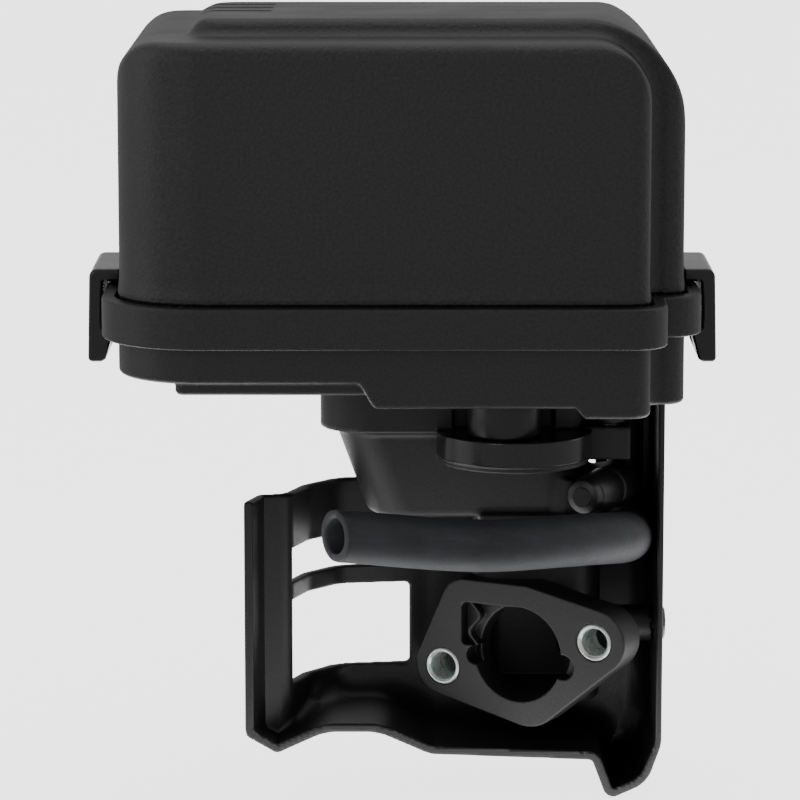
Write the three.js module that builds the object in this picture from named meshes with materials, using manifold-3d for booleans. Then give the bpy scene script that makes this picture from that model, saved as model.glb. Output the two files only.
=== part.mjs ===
// Air filter housing of a small horizontal-shaft engine: a lidded filter case on a moulded
// elbow that bolts to the carburettor, with a carburettor shield and a breather hose.
// Millimetres, +Z up. The origin is the middle of the elbow's carburettor flange, on its face.
// -Y is the front. The flange faces the front, turned FLANGE_TURN towards -X.

import * as THREE from 'three';
import { mergeVertices } from 'three/addons/utils/BufferGeometryUtils.js';
import Module from 'manifold-3d';

const wasm = await Module();
wasm.setup();

// Driving dimensions
const WALL = 2.2;
const GAP = 0.3;

const CASE_LEFT = -93.9;
const CASE_RIGHT = 38.3;
const CASE_FRONT = -40;
const CASE_BACK = 60;
const NOSE_RIGHT = 29.3;
const NOSE_DEPTH = 19;
const SHALLOW_Z = 72.9;
const LEDGE_Z = 70;
const WELL_Z = 67.2;
const DEEP_Z = 64.8;
const WELL_LEFT = -36;
const WELL_LEFT_BACK = -52;

const BAND_OUT = 3.9;
const BAND_BOTTOM = 81.4;
const BAND_TOP = 91;
const SEAT_Z = 83.2;
const SEAL_THICK = 1.7;
const COVER_BOTTOM = SEAT_Z + SEAL_THICK + 2 * GAP;
const COVER_TOP = 151.3;
const RAISED_TOP = 155.4;
const RAISED_SLOPE = 0.03;
const RAISED_LEFT = -77;
const TOP_BEVEL = 4.5;
const INLET_SLOTS_Y = [12, 27, 42];
const INLET_HALF = 2.8;
const INLET_END = -59;

const LATCH_WIDTH = 30;
const LATCH_Y = 8;
const LATCH_THICK = 3;
const LATCH_TOP = 95;
const LATCH_BOTTOM = 72.8;
const LATCH_OUT = 4.4;
const PIVOT_Z = 77.5;
const PIVOT_OUT = 1.4;
const PIN_R = 1.1;
const EAR_WIDTH = 9;
const LUG_HALF = 7;
const LUG_BOTTOM = 89.6;
const LUG_REACH = 3.2;
const PIN_FRONT = 13.6;
const PIN_BACK = 14.5;
const NOTCH_HALF = 4.5;

const FLANGE_TURN = THREE.MathUtils.degToRad(28);
const STUD_SPACING = 42;
const STUD_TILT = THREE.MathUtils.degToRad(14.2);
const SLEEVE_R = 4.45;
const SLEEVE_BORE_R = 3.4;
const FLANGE_THICK = 9;
const BORE_R = 11.6;
const NECK_R = 15;
const NECK_DEPTH = 19;

const ELBOW_SEAL_THICK = 1.3;
const FUNNEL_TOP = WELL_Z - ELBOW_SEAL_THICK - 2 * GAP;
const FUNNEL_SHOULDER = 54.5;
const FUNNEL_BOTTOM = 33;
const DUCT_X = 5;
const DUCT_Y = 18;
const DUCT_WIDE = 31;
const DUCT_DEEP = 23;
const DUCT_BOTTOM = -14;

const EAR_R = 18.6;
const EAR_TOP = 55.6;
const EAR_BOTTOM = 48;
const EAR_CENTRE = [-1, -1];
const EAR_BACK = 14;
const FRONT_BOLT = [-3.5, -9.5];
const SIDE_BOLT = [22.2, 5];
const FRONT_COLLAR_R = 8.9;
const SIDE_COLLAR_R = 5.4;
const BOLT_R = 3;
const BOLT_SEAT_R = 7.4;
const BOLT_WASHER_R = 6.4;
const BOLT_HEAD_R = 5;

const PLUG_FRONT = [14.9, -10.5, 40.8];
const PLUG_LENGTH = 13.4;

const HOSE_R = 6.1;
const HOSE_BORE_R = 4.1;
const HOSE_ROUTE = [
  [27, 17.5, 28], [27, 13, 28], [26.9, 8.5, 28.2], [26.6, 4, 28.6], [25.9, -0.5, 29.2],
  [24.9, -5, 30], [23.5, -9.4, 30.8], [21.5, -13.6, 31.6], [18.9, -17.6, 32.3], [15.8, -21.2, 32.9],
  [12.2, -24.4, 33.3], [8, -27.1, 33.6], [3.2, -29.4, 33.7], [-2, -31.2, 33.7], [-7.6, -32.6, 33.8],
  [-13.4, -33.7, 34.1], [-19.4, -34.5, 34.6], [-25.4, -35.2, 35.2], [-31.6, -35.9, 35.9],
  [-37.8, -36.7, 36.6], [-43.6, -37.6, 37.2],
];

// The breather port leaves the case floor behind the nose.
const PORT = [27, 24];
const PORT_STEM_R = 4.4;
const PORT_FLANGE_R = 6.4;
const PORT_BORE_R = 2.7;
const SPIGOT_COLLAR_R = 5.4;
const SPIGOT_BORE_R = 2.2;

const SHIELD_FRONT = -2;
const SHIELD_BACK = 33.4;
const SHIELD_TOP = 37.9;
const SHIELD_SIDE_TOP = 62.5;
const SHIELD_THICK = 2.2;
const SHIELD_SIDE_THICK = 1.6;
const SHIELD_STEP_X = 20;
const SHIELD_LEFT = -66.2;
const SHIELD_RIGHT = 35;
const SHIELD_WINDOWS = [[-9.2, 11.2], [15.8, 24]];
const WINDOW_LEFT = -56.2;
const WINDOW_RIGHT = -26;
const WINDOW_FRONT = 10;
const SHIELD_SCREW_Z = 5.2;
const SHIELD_SCREW_Y = 12;
const BACK_SCREWS = [[-2, 20], [13, -4]];
const SCREW_R = 1.9;
const SCREW_HEAD_R = 3.3;
const SCREW_HEAD_HIGH = 2.4;
const SIDE_SCREW_HEAD_R = 4.2;
const SIDE_SCREW_HEAD_HIGH = 1.2;

const ELEMENT_CENTRE = [-30, 10];
const ELEMENT_SIZE = [104, 72];
const ELEMENT_BOTTOM = 76;
const ELEMENT_HEIGHT = 58;
const CAP_THICK = 3;
const FOAM_THICK = 8;
const PAPER_THICK = 13;
const PLEATS = 44;

// Outlines: a list of [x, y, radius] corners, anticlockwise, pulled in by inset.
function outline(corners, inset = 0, steps = 5) {
  const count = corners.length;
  const points = corners.map(([x, y]) => new THREE.Vector2(x, y));
  const line = (i) => {
    const from = points[i];
    const along = points[(i + 1) % count].clone().sub(from).normalize();
    const inward = new THREE.Vector2(-along.y, along.x).multiplyScalar(inset);
    return { from: from.clone().add(inward), along };
  };
  const path = [];
  for (let i = 0; i < count; i++) {
    const before = line((i + count - 1) % count);
    const after = line(i);
    const cross = before.along.cross(after.along);
    const reach = after.from.clone().sub(before.from).cross(after.along) / cross;
    const corner = before.from.clone().addScaledVector(before.along, reach);
    const radius = Math.max(corners[i][2] - Math.sign(cross) * inset, 0);
    if (radius < 0.05) {
      path.push(corner);
      continue;
    }
    const turn = Math.acos(THREE.MathUtils.clamp(before.along.dot(after.along), -1, 1));
    const back = radius * Math.tan(turn / 2);
    const start = corner.clone().addScaledVector(before.along, -back);
    const side = new THREE.Vector2(-before.along.y, before.along.x).multiplyScalar(Math.sign(cross));
    const centre = start.clone().addScaledVector(side, radius);
    const spokes = Math.max(2, Math.round(steps * turn / (Math.PI / 2)));
    for (let k = 0; k <= spokes; k++) {
      const spoke = start.clone().sub(centre);
      path.push(spoke.rotateAround(new THREE.Vector2(), Math.sign(cross) * turn * k / spokes).add(centre));
    }
  }
  return path;
}

function rectangle(x0, y0, x1, y1, radius = 0) {
  return [[x0, y0, radius], [x1, y0, radius], [x1, y1, radius], [x0, y1, radius]];
}

function circle(radius, steps = 24, x = 0, y = 0) {
  const spoke = (i) => {
    const angle = (2 * Math.PI * i) / steps;
    return new THREE.Vector2(x + radius * Math.cos(angle), y + radius * Math.sin(angle));
  };
  return Array.from({ length: steps }, (_, i) => spoke(i));
}

// The outline of a belt pulled round circles given as [x, y, radius].
function belt(circles, steps = 24) {
  const points = circles.flatMap(([x, y, radius]) => circle(radius, steps, x, y));
  points.sort((a, b) => a.x - b.x || a.y - b.y);
  const chain = (list) => {
    const kept = [];
    for (const point of list) {
      const turnsRight = () => {
        const last = kept.at(-1);
        return last.clone().sub(kept.at(-2)).cross(point.clone().sub(last)) <= 0;
      };
      while (kept.length > 1 && turnsRight()) {
        kept.pop();
      }
      kept.push(point);
    }
    kept.pop();
    return kept;
  };
  return [...chain(points), ...chain([...points].reverse())];
}

// Solids
function solid(geometry) {
  const bare = geometry.clone();
  bare.deleteAttribute('normal');
  bare.deleteAttribute('uv');
  const merged = mergeVertices(bare, 1e-4);
  const vertProperties = new Float32Array(merged.attributes.position.array);
  const triVerts = new Uint32Array(merged.index.array);
  return new wasm.Manifold(new wasm.Mesh({ numProp: 3, vertProperties, triVerts }));
}

function prism(points, low, high, bevel = 0) {
  const depth = high - low - 2 * bevel;
  const geometry = new THREE.ExtrudeGeometry(new THREE.Shape(points), {
    depth,
    bevelEnabled: bevel > 0,
    bevelThickness: bevel,
    bevelSize: bevel,
    bevelOffset: -bevel,
    bevelSegments: 4,
    curveSegments: 1,
  });
  return solid(geometry.translate(0, 0, low + bevel));
}

// A prism whose outline is drawn in X and Z and that runs along Y.
function prismAlongY(points, front, back) {
  const flipped = points.map((p) => new THREE.Vector2(p.x, -p.y)).reverse();
  const geometry = new THREE.ExtrudeGeometry(new THREE.Shape(flipped), {
    depth: back - front,
    bevelEnabled: false,
    curveSegments: 1,
  });
  return solid(geometry.rotateX(-Math.PI / 2).translate(0, front, 0));
}

function box(x0, y0, z0, x1, y1, z1) {
  const geometry = new THREE.BoxGeometry(x1 - x0, y1 - y0, z1 - z0);
  return solid(geometry.translate((x0 + x1) / 2, (y0 + y1) / 2, (z0 + z1) / 2));
}

// A cone or cylinder from one point to another.
function rod(from, to, radiusFrom, radiusTo = radiusFrom, sides = 24) {
  const start = new THREE.Vector3(...from);
  const axis = new THREE.Vector3(...to).sub(start);
  const geometry = new THREE.CylinderGeometry(radiusTo, radiusFrom, axis.length(), sides);
  geometry.translate(0, axis.length() / 2, 0);
  const turn = new THREE.Quaternion().setFromUnitVectors(new THREE.Vector3(0, 1, 0), axis.normalize());
  return solid(geometry.applyQuaternion(turn).translate(...from));
}

function bolt(from, to, radius) {
  return rod(from, to, radius, radius, 16);
}

// A straight-sided loft between two outlines with the same number of points.
function loft(lower, lowZ, upper, highZ) {
  const count = lower.length;
  const positions = [
    ...lower.flatMap((p) => [p.x, p.y, lowZ]),
    ...upper.flatMap((p) => [p.x, p.y, highZ]),
  ];
  const index = [];
  for (let i = 0; i < count; i++) {
    const next = (i + 1) % count;
    index.push(i, next, count + next, i, count + next, count + i);
  }
  for (const [a, b, c] of THREE.ShapeUtils.triangulateShape(lower, [])) {
    index.push(a, c, b);
  }
  for (const [a, b, c] of THREE.ShapeUtils.triangulateShape(upper, [])) {
    index.push(a + count, b + count, c + count);
  }
  const geometry = new THREE.BufferGeometry();
  geometry.setAttribute('position', new THREE.Float32BufferAttribute(positions, 3));
  geometry.setIndex(index);
  return solid(geometry);
}

function join(...solids) {
  return solids.reduce((whole, next) => whole.add(next));
}

function cut(body, ...tools) {
  return tools.reduce((rest, tool) => rest.subtract(tool), body);
}

function turned(profile, sides = 24) {
  const points = profile.map(([r, z]) => new THREE.Vector2(r, z));
  return new THREE.LatheGeometry(points, sides).rotateX(Math.PI / 2);
}

// Materials
function material(color, roughness, metalness = 0) {
  return () => new THREE.MeshStandardMaterial({ color, roughness, metalness });
}

const blackPlastic = material(0x1c1c1e, 0.55);
const glossPlastic = material(0x141416, 0.35);
const blackRubber = material(0x202024, 0.75);
const zincSteel = material(0xc8d0d0, 0.3, 1);
const filterFoam = material(0x2a2c30, 0.95);
const filterPaper = material(0xd8cfa8, 0.9);

const model = new THREE.Group();
const FAR = 200;

function place(name, shape, makeMaterial, parent = model) {
  let geometry = shape;
  if (!shape.isBufferGeometry) {
    const mesh = shape.getMesh();
    geometry = new THREE.BufferGeometry();
    geometry.setAttribute('position', new THREE.Float32BufferAttribute(mesh.vertProperties, 3));
    geometry.setIndex([...mesh.triVerts]);
    geometry.computeVertexNormals();
  }
  const node = new THREE.Mesh(geometry, makeMaterial());
  node.name = name;
  parent.add(node);
  return node;
}

// Case and cover share one plan: a front nose that stops short of the right-hand side.
const casePlan = [
  [CASE_LEFT, CASE_FRONT, 20],
  [NOSE_RIGHT, CASE_FRONT, 5],
  [NOSE_RIGHT, CASE_FRONT + NOSE_DEPTH, 3.6],
  [CASE_RIGHT, CASE_FRONT + NOSE_DEPTH, 5],
  [CASE_RIGHT, CASE_BACK, 14],
  [CASE_LEFT, CASE_BACK, 14],
];

const deepPlan = [
  [13, CASE_FRONT, 4],
  [NOSE_RIGHT, CASE_FRONT, 5],
  [NOSE_RIGHT, CASE_FRONT + NOSE_DEPTH, 3.6],
  [CASE_RIGHT, CASE_FRONT + NOSE_DEPTH, 5],
  [CASE_RIGHT, CASE_BACK, 14],
  [19, CASE_BACK, 3],
  [19, -5, 2.5],
  [13, -5, 2.5],
];

const wellPlan = [
  [WELL_LEFT, CASE_FRONT, 4],
  [NOSE_RIGHT, CASE_FRONT, 5],
  [NOSE_RIGHT, CASE_FRONT + NOSE_DEPTH, 3.6],
  [CASE_RIGHT, CASE_FRONT + NOSE_DEPTH, 5],
  [CASE_RIGHT, CASE_BACK, 14],
  [WELL_LEFT_BACK, CASE_BACK, 8],
  [WELL_LEFT_BACK, -4, 6],
  [WELL_LEFT, -12, 6],
];

const outlet = rectangle(-38, 3, -8, 28, 6);
const ledge = rectangle(-80, CASE_FRONT + 2.6, 0, 50, 2);
const latchSides = { left: -1, right: 1 };

function latchWall(side) {
  return side < 0 ? CASE_LEFT - BAND_OUT : CASE_RIGHT + BAND_OUT;
}

function buildCase() {
  const shell = join(
    prism(outline(casePlan), SHALLOW_Z, BAND_TOP - 3),
    prism(outline(ledge), LEDGE_Z, SHALLOW_Z + WALL),
    prism(outline(wellPlan), WELL_Z, SHALLOW_Z + WALL),
    prism(outline(deepPlan), DEEP_Z, SHALLOW_Z + WALL),
    prism(outline(casePlan, -BAND_OUT), BAND_BOTTOM, BAND_TOP),
  );
  const hollow = join(
    prism(outline(casePlan, WALL), SHALLOW_Z + WALL, BAND_TOP + 1),
    prism(outline(wellPlan, WALL), WELL_Z + WALL, SHALLOW_Z + WALL + 1),
    prism(outline(deepPlan, WALL), DEEP_Z + WALL, SHALLOW_Z + WALL + 1),
    prism(outline(casePlan, -2 * GAP), SEAT_Z, BAND_TOP + 1),
  );
  let body = cut(shell, hollow, prism(outline(outlet), WELL_Z - 1, SHALLOW_Z));
  const ribs = [6, 12].map((x) => box(x, -30, WELL_Z + 1, x + 2, 50, ELEMENT_BOTTOM - 2 * GAP));
  const boltSeat = rod([...SIDE_BOLT, DEEP_Z + WALL - 0.05], [...SIDE_BOLT, WELL_Z + WALL], BOLT_SEAT_R);
  const ears = Object.values(latchSides).map((side) => {
    const wall = latchWall(side);
    const ear = prismAlongY(outline([
      [PIVOT_OUT - 2, PIVOT_Z - 2.1, 1.6], [PIVOT_OUT + 2.1, PIVOT_Z - 2.1, 1.9],
      [PIVOT_OUT + 2.1, PIVOT_Z + 1.6, 1.9], [-0.6, BAND_BOTTOM + 0.6, 0], [-2.8, BAND_BOTTOM + 0.6, 0],
    ], 0, 4), -EAR_WIDTH / 2, EAR_WIDTH / 2);
    return ear.mirror(side < 0 ? [1, 0, 0] : [0, 1, 0]).translate([wall, LATCH_Y, 0]);
  });
  body = join(body, ...ribs, ...ears, boltSeat);
  const pinHoles = Object.values(latchSides).map((side) => {
    const x = latchWall(side) + side * PIVOT_OUT;
    return bolt([x, LATCH_Y - EAR_WIDTH, PIVOT_Z], [x, LATCH_Y + EAR_WIDTH, PIVOT_Z], PIN_R + GAP);
  });
  const notches = Object.values(latchSides).map((side) => {
    const wall = latchWall(side);
    const half = LUG_HALF + GAP;
    return box(wall - NOTCH_HALF, LATCH_Y - half, LUG_BOTTOM - GAP, wall + NOTCH_HALF, LATCH_Y + half, FAR);
  });
  const boltHoles = [FRONT_BOLT, SIDE_BOLT].map(([x, y]) => (
    rod([x, y, DEEP_Z - 1], [x, y, WELL_Z + WALL + 6], BOLT_R + GAP, BOLT_R + GAP, 16)
  ));
  const portHole = rod([...PORT, DEEP_Z - 1], [...PORT, DEEP_Z + WALL + 1], PORT_STEM_R + GAP);
  place('case', cut(body, ...pinHoles, ...notches, ...boltHoles, portHole), blackPlastic);
}

function coverBody(inset) {
  const top = COVER_TOP - inset;
  const raised = RAISED_TOP - inset;
  const low = COVER_BOTTOM - 20;
  const bevel = TOP_BEVEL - inset;
  const lowerSide = outline([
    [CASE_LEFT, low, 0], [NOSE_RIGHT, low, 0], [NOSE_RIGHT, COVER_TOP, 15], [CASE_LEFT, COVER_TOP, 11],
  ], inset, 7);
  const raisedPlan = outline([
    [RAISED_LEFT, CASE_FRONT + NOSE_DEPTH, 8],
    [CASE_RIGHT, CASE_FRONT + NOSE_DEPTH, 5],
    [CASE_RIGHT, CASE_BACK, 14],
    [RAISED_LEFT, CASE_BACK, 10],
  ], inset);
  const raisedSide = outline([
    [RAISED_LEFT, low, 0], [CASE_RIGHT, low, 0], [CASE_RIGHT, RAISED_TOP, 26], [RAISED_LEFT, RAISED_TOP, 4],
  ], inset, 8);
  const lower = prism(outline(casePlan, inset), low, top, bevel)
    .intersect(prismAlongY(lowerSide, CASE_FRONT - 1, CASE_BACK + 1));
  const upper = prism(raisedPlan, low, raised, bevel)
    .intersect(prismAlongY(raisedSide, CASE_FRONT - 1, CASE_BACK + 1));
  const above = box(-FAR, 0, 0, FAR, FAR, FAR)
    .rotate([-THREE.MathUtils.radToDeg(Math.atan(RAISED_SLOPE)), 0, 0])
    .translate([0, CASE_FRONT + NOSE_DEPTH, raised]);
  return join(lower, cut(upper, above));
}

function buildCover() {
  const below = box(-FAR, -FAR, -FAR, FAR, FAR, COVER_BOTTOM);
  const inlets = INLET_SLOTS_Y.map((y) => (
    box(RAISED_LEFT - 2, y - INLET_HALF, COVER_TOP + 0.8, INLET_END, y + INLET_HALF, FAR)
  ));
  const shell = cut(coverBody(0), coverBody(WALL), below, ...inlets);
  const lugs = Object.values(latchSides).map((side) => {
    const wall = side < 0 ? CASE_LEFT : CASE_RIGHT;
    const [inner, outer] = [wall - side, wall + side * LUG_REACH];
    const [x0, x1] = [Math.min(inner, outer), Math.max(inner, outer)];
    return box(x0, LATCH_Y - LUG_HALF, LUG_BOTTOM, x1, LATCH_Y + LUG_HALF, LATCH_TOP - LATCH_THICK - GAP);
  });
  place('cover', join(shell, ...lugs), blackPlastic);
}

function buildCoverSeal() {
  const ring = prism(outline(casePlan), SEAT_Z + GAP, SEAT_Z + GAP + SEAL_THICK);
  place('cover_seal', cut(ring, prism(outline(casePlan, WALL), SEAT_Z, COVER_BOTTOM)), blackRubber);
}

// Clips: hinged below the rim band, with a hook over the cover's lug and a tail as a stop.
function buildClip(name, side) {
  const wall = latchWall(side);
  const hookTip = (side < 0 ? CASE_LEFT : CASE_RIGHT) + side * GAP;
  const tip = side * (hookTip - wall);
  const profile = [
    [tip, LATCH_TOP - LATCH_THICK, 0.4], [0.6, LATCH_TOP - LATCH_THICK, 0.6],
    [0.9, BAND_BOTTOM - GAP, 0.4], [-1.6, BAND_BOTTOM - 1.6, 0.5], [0.2, LATCH_BOTTOM + 0.6, 0.6],
    [1.2, LATCH_BOTTOM, 0.4], [LATCH_OUT, LATCH_BOTTOM, 1], [LATCH_OUT - 0.5, LATCH_TOP, 2],
    [tip, LATCH_TOP, 0.6],
  ];
  const slab = prismAlongY(outline(profile, 0, 3), -LATCH_WIDTH / 2, LATCH_WIDTH / 2);
  const slot = box(-5, -EAR_WIDTH / 2 - GAP, PIVOT_Z - 3, 9, EAR_WIDTH / 2 + GAP, PIVOT_Z + 6.5);
  // The pin's bore is blind at the front.
  const bore = rod(
    [PIVOT_OUT, side * (PIN_FRONT + GAP), PIVOT_Z], [PIVOT_OUT, -side * LATCH_WIDTH, PIVOT_Z],
    PIN_R + GAP, PIN_R + GAP, 16,
  );
  const clip = cut(slab, slot, bore).mirror(side < 0 ? [1, 0, 0] : [0, 1, 0]);
  place(`clip_${name}`, clip.translate([wall, LATCH_Y, 0]), glossPlastic);
  const x = wall + side * PIVOT_OUT;
  const pin = rod([x, LATCH_Y - PIN_FRONT, PIVOT_Z], [x, LATCH_Y + PIN_BACK, PIVOT_Z], PIN_R, PIN_R, 16);
  place(`clip_pin_${name}`, pin, zincSteel);
}

// Elbow: funnel, duct, neck and carburettor flange in one moulding.
const flangeNormal = new THREE.Vector3(-Math.sin(FLANGE_TURN), -Math.cos(FLANGE_TURN), 0);
const studX = (STUD_SPACING / 2) * Math.cos(STUD_TILT);
const studZ = (STUD_SPACING / 2) * Math.sin(STUD_TILT);

// A prism in the flange's own axes: outline across the face, depth measured back from it.
function behindFlange(points, near, far) {
  const geometry = new THREE.ExtrudeGeometry(new THREE.Shape(points), {
    depth: far - near,
    bevelEnabled: false,
    curveSegments: 1,
  });
  geometry.rotateX(Math.PI / 2).translate(0, far, 0).rotateZ(-FLANGE_TURN);
  return solid(geometry);
}

function onFlange(s, z, depth) {
  return new THREE.Vector3(s, depth, z).applyAxisAngle(new THREE.Vector3(0, 0, 1), -FLANGE_TURN).toArray();
}

function ductPlan(inset) {
  const [x, y] = [DUCT_X, DUCT_Y];
  return outline(rectangle(
    x - DUCT_WIDE / 2, y - DUCT_DEEP / 2, x + DUCT_WIDE / 2, y + DUCT_DEEP / 2, 8,
  ), inset, 5);
}

const FUNNEL_TOP_PLAN = rectangle(-44, 0, 17, 30.5, 11);
const FUNNEL_LOW_PLAN = rectangle(-36, 3, 17, 28.5, 11);
const COLLAR_PLAN = rectangle(-47.5, -1.5, 19, 31, 12);
const SEAL_PLAN = rectangle(-46.5, 0, 16, 30, 11);
const ARM_R = 5.6;
const ARM_LENGTH = 8;
const SCREW_BOSS_R = 4.4;
const SIDE_SCREW_ROOT = DUCT_X + 14;
const PLUG_STEM_R = 3;
const COLLAR_ROOM = 12;

function funnelPlans(inset) {
  return {
    top: outline(FUNNEL_TOP_PLAN, inset, 5),
    low: outline(FUNNEL_LOW_PLAN, inset, 5),
  };
}

function elbowOuter() {
  const { top, low } = funnelPlans(0);
  const flange = belt([
    [-studX, -studZ, 7.2], [studX, studZ, 8.1], [-14.5, 11.2, 6], [1.5, 9.2, 8], [2.5, -8.5, 9.2],
  ]);
  const ear = cut(
    rod([...EAR_CENTRE, EAR_BOTTOM], [...EAR_CENTRE, EAR_TOP], EAR_R, EAR_R, 40),
    box(-FAR, EAR_BACK, 0, FAR, FAR, FAR),
  );
  const plugSeat = new THREE.Vector3(...PLUG_FRONT).addScaledVector(flangeNormal, -PLUG_LENGTH);
  const plugRoot = plugSeat.clone().addScaledVector(flangeNormal, -ARM_LENGTH);
  return join(
    prism(outline(COLLAR_PLAN), FUNNEL_SHOULDER, FUNNEL_TOP),
    loft(low, FUNNEL_BOTTOM, top, FUNNEL_SHOULDER + 1),
    prism(ductPlan(0), DUCT_BOTTOM, FUNNEL_BOTTOM + 4),
    behindFlange(flange, 0, FLANGE_THICK),
    behindFlange(circle(NECK_R, 32), FLANGE_THICK - 1, NECK_DEPTH),
    ear,
    box(17, -1, EAR_BOTTOM, 27, 11, EAR_TOP + 0.6),
    rod(plugSeat.toArray(), plugRoot.toArray(), ARM_R),
    rod(plugRoot.toArray(), [DUCT_X, DUCT_Y, FUNNEL_BOTTOM + 2], ARM_R, 7.5),
    rod([SIDE_SCREW_ROOT, SHIELD_SCREW_Y, SHIELD_SCREW_Z],
      [SHIELD_RIGHT - SHIELD_SIDE_THICK - GAP, SHIELD_SCREW_Y, SHIELD_SCREW_Z], SCREW_BOSS_R),
    ...BACK_SCREWS.map(([x, z]) => rod([x, 26, z], [x, SHIELD_BACK - SHIELD_THICK - GAP, z], SCREW_BOSS_R)),
  );
}

function buildElbow() {
  const { top, low } = funnelPlans(WALL);
  const [boltX, boltY] = FRONT_BOLT;
  const screwHoles = BACK_SCREWS.map(([x, z]) => bolt([x, 20, z], [x, 40, z], SCREW_R + GAP));
  const hollow = join(
    prism(top, FUNNEL_SHOULDER, FUNNEL_TOP + 1),
    loft(low, FUNNEL_BOTTOM + WALL, top, FUNNEL_SHOULDER + 0.5),
    prism(ductPlan(WALL + 0.3), DUCT_BOTTOM + WALL, FUNNEL_BOTTOM + 4),
    behindFlange(circle(BORE_R, 40), -1, NECK_DEPTH),
    behindFlange(outline(rectangle(-15.2, 1, 0, 11.4, 1.2), 0, 2), -1, 3.5),
    behindFlange(circle(3, 16, 12, -1.9), -1, 5),
    behindFlange(circle(2.2, 16, -11.6, -1.4), -1, 5),
  );
  const holes = [
    ...[-1, 1].map((k) => (
      behindFlange(circle(SLEEVE_R + GAP, 28, k * studX, k * studZ), -1, FLANGE_THICK + 1)
    )),
    ...[FRONT_BOLT, SIDE_BOLT].map(([x, y]) => (
      rod([x, y, EAR_BOTTOM + 1], [x, y, FUNNEL_TOP + 1], BOLT_R + GAP, BOLT_R + GAP, 16)
    )),
    bolt([SIDE_SCREW_ROOT, SHIELD_SCREW_Y, SHIELD_SCREW_Z], [SHIELD_RIGHT, SHIELD_SCREW_Y, SHIELD_SCREW_Z],
      SCREW_R + GAP),
    ...screwHoles,
    rod(PLUG_FRONT, onPlugAxis(PLUG_LENGTH + 5), PLUG_STEM_R + GAP, PLUG_STEM_R + GAP, 16),
    box(boltX - COLLAR_ROOM, boltY - COLLAR_ROOM, EAR_TOP,
      boltX + COLLAR_ROOM, boltY + COLLAR_ROOM - 1.5, FAR),
    rod([...SIDE_BOLT, EAR_TOP + 0.6], [...SIDE_BOLT, FUNNEL_TOP + 1], SIDE_COLLAR_R + GAP),
  ];
  place('elbow', cut(elbowOuter(), hollow, ...holes), blackPlastic);
}

function onPlugAxis(distance) {
  return new THREE.Vector3(...PLUG_FRONT).addScaledVector(flangeNormal, -distance).toArray();
}

function buildPlug() {
  const plug = join(
    rod(onPlugAxis(0), onPlugAxis(1.2), 3.6, 4.1),
    rod(onPlugAxis(1.1), onPlugAxis(3), 4.1),
    rod(onPlugAxis(2.9), onPlugAxis(PLUG_LENGTH - GAP), 4.7, 5.1),
    rod(onPlugAxis(PLUG_LENGTH - 1), onPlugAxis(PLUG_LENGTH + 4.5), PLUG_STEM_R),
  );
  place('elbow_plug', plug, blackRubber);
}

function buildSleeves() {
  for (const [name, k] of [['left', -1], ['right', 1]]) {
    const shell = cut(
      behindFlange(circle(SLEEVE_R, 28, k * studX, k * studZ), 0, FLANGE_THICK),
      behindFlange(circle(SLEEVE_BORE_R, 28, k * studX, k * studZ), -1, FLANGE_THICK + 1),
    );
    place(`stud_sleeve_${name}`, shell, zincSteel);
  }
}

function buildElbowSeal() {
  const low = WELL_Z - GAP - ELBOW_SEAL_THICK;
  const ring = cut(
    prism(outline(SEAL_PLAN), low, low + ELBOW_SEAL_THICK),
    prism(outline(outlet), low - 1, low + 3),
    prism(circle(FRONT_COLLAR_R + GAP, 32, ...FRONT_BOLT), low - 1, low + 3),
  );
  place('elbow_seal', ring, blackRubber);
}

// Spacer collars and bolts that hang the elbow from the case floor.
function buildElbowFixings() {
  const fixings = [
    { name: 'front', at: FRONT_BOLT, radius: FRONT_COLLAR_R, base: EAR_TOP + GAP, top: WELL_Z - GAP },
    { name: 'side', at: SIDE_BOLT, radius: SIDE_COLLAR_R, base: EAR_TOP + 0.6 + GAP, top: DEEP_Z - GAP },
  ];
  for (const { name, at, radius, base, top } of fixings) {
    const sides = 32;
    const collar = turned([
      [BOLT_R + GAP, base], [radius - 0.5, base], [radius, base + 0.5], [radius, top],
      [BOLT_R + GAP, top], [BOLT_R + GAP, base],
    ], sides);
    place(`spacer_collar_${name}`, solid(collar).translate([...at, 0]), glossPlastic);
    const seat = WELL_Z + WALL + GAP;
    const shape = join(
      prism(circle(BOLT_R, 16), EAR_BOTTOM + 2, seat + 2),
      prism(circle(BOLT_WASHER_R, 24), seat, seat + 1.1),
      prism(circle(BOLT_HEAD_R, 6), seat + 1, seat + 4.4),
    );
    place(`elbow_bolt_${name}`, shape.translate([...at, 0]), zincSteel);
  }
}

// Breather port: a stem through the case floor that turns forward into a spigot.
function buildPort() {
  const [x, y] = PORT;
  const [, spigotY, spigotZ] = HOSE_ROUTE[0];
  const body = join(
    rod([x, y, spigotZ], [x, y, DEEP_Z + WALL + 1.5], PORT_STEM_R),
    prism(circle(PORT_FLANGE_R, 24, x, y), DEEP_Z - GAP - 2, DEEP_Z - GAP),
    rod([x, y + 4, spigotZ], [x, spigotY + 2 * GAP, spigotZ], SPIGOT_COLLAR_R),
    rod([x, y, spigotZ], [x, spigotY - 5, spigotZ], HOSE_BORE_R - 2 * GAP, HOSE_BORE_R - 2 * GAP, 16),
  );
  const bore = join(
    rod([x, y, spigotZ], [x, y, DEEP_Z + WALL + 4], PORT_BORE_R, PORT_BORE_R, 16),
    rod([x, y, spigotZ], [x, spigotY - 9, spigotZ], SPIGOT_BORE_R, SPIGOT_BORE_R, 16),
  );
  place('breather_port', cut(body, bore), blackPlastic);
}

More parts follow.
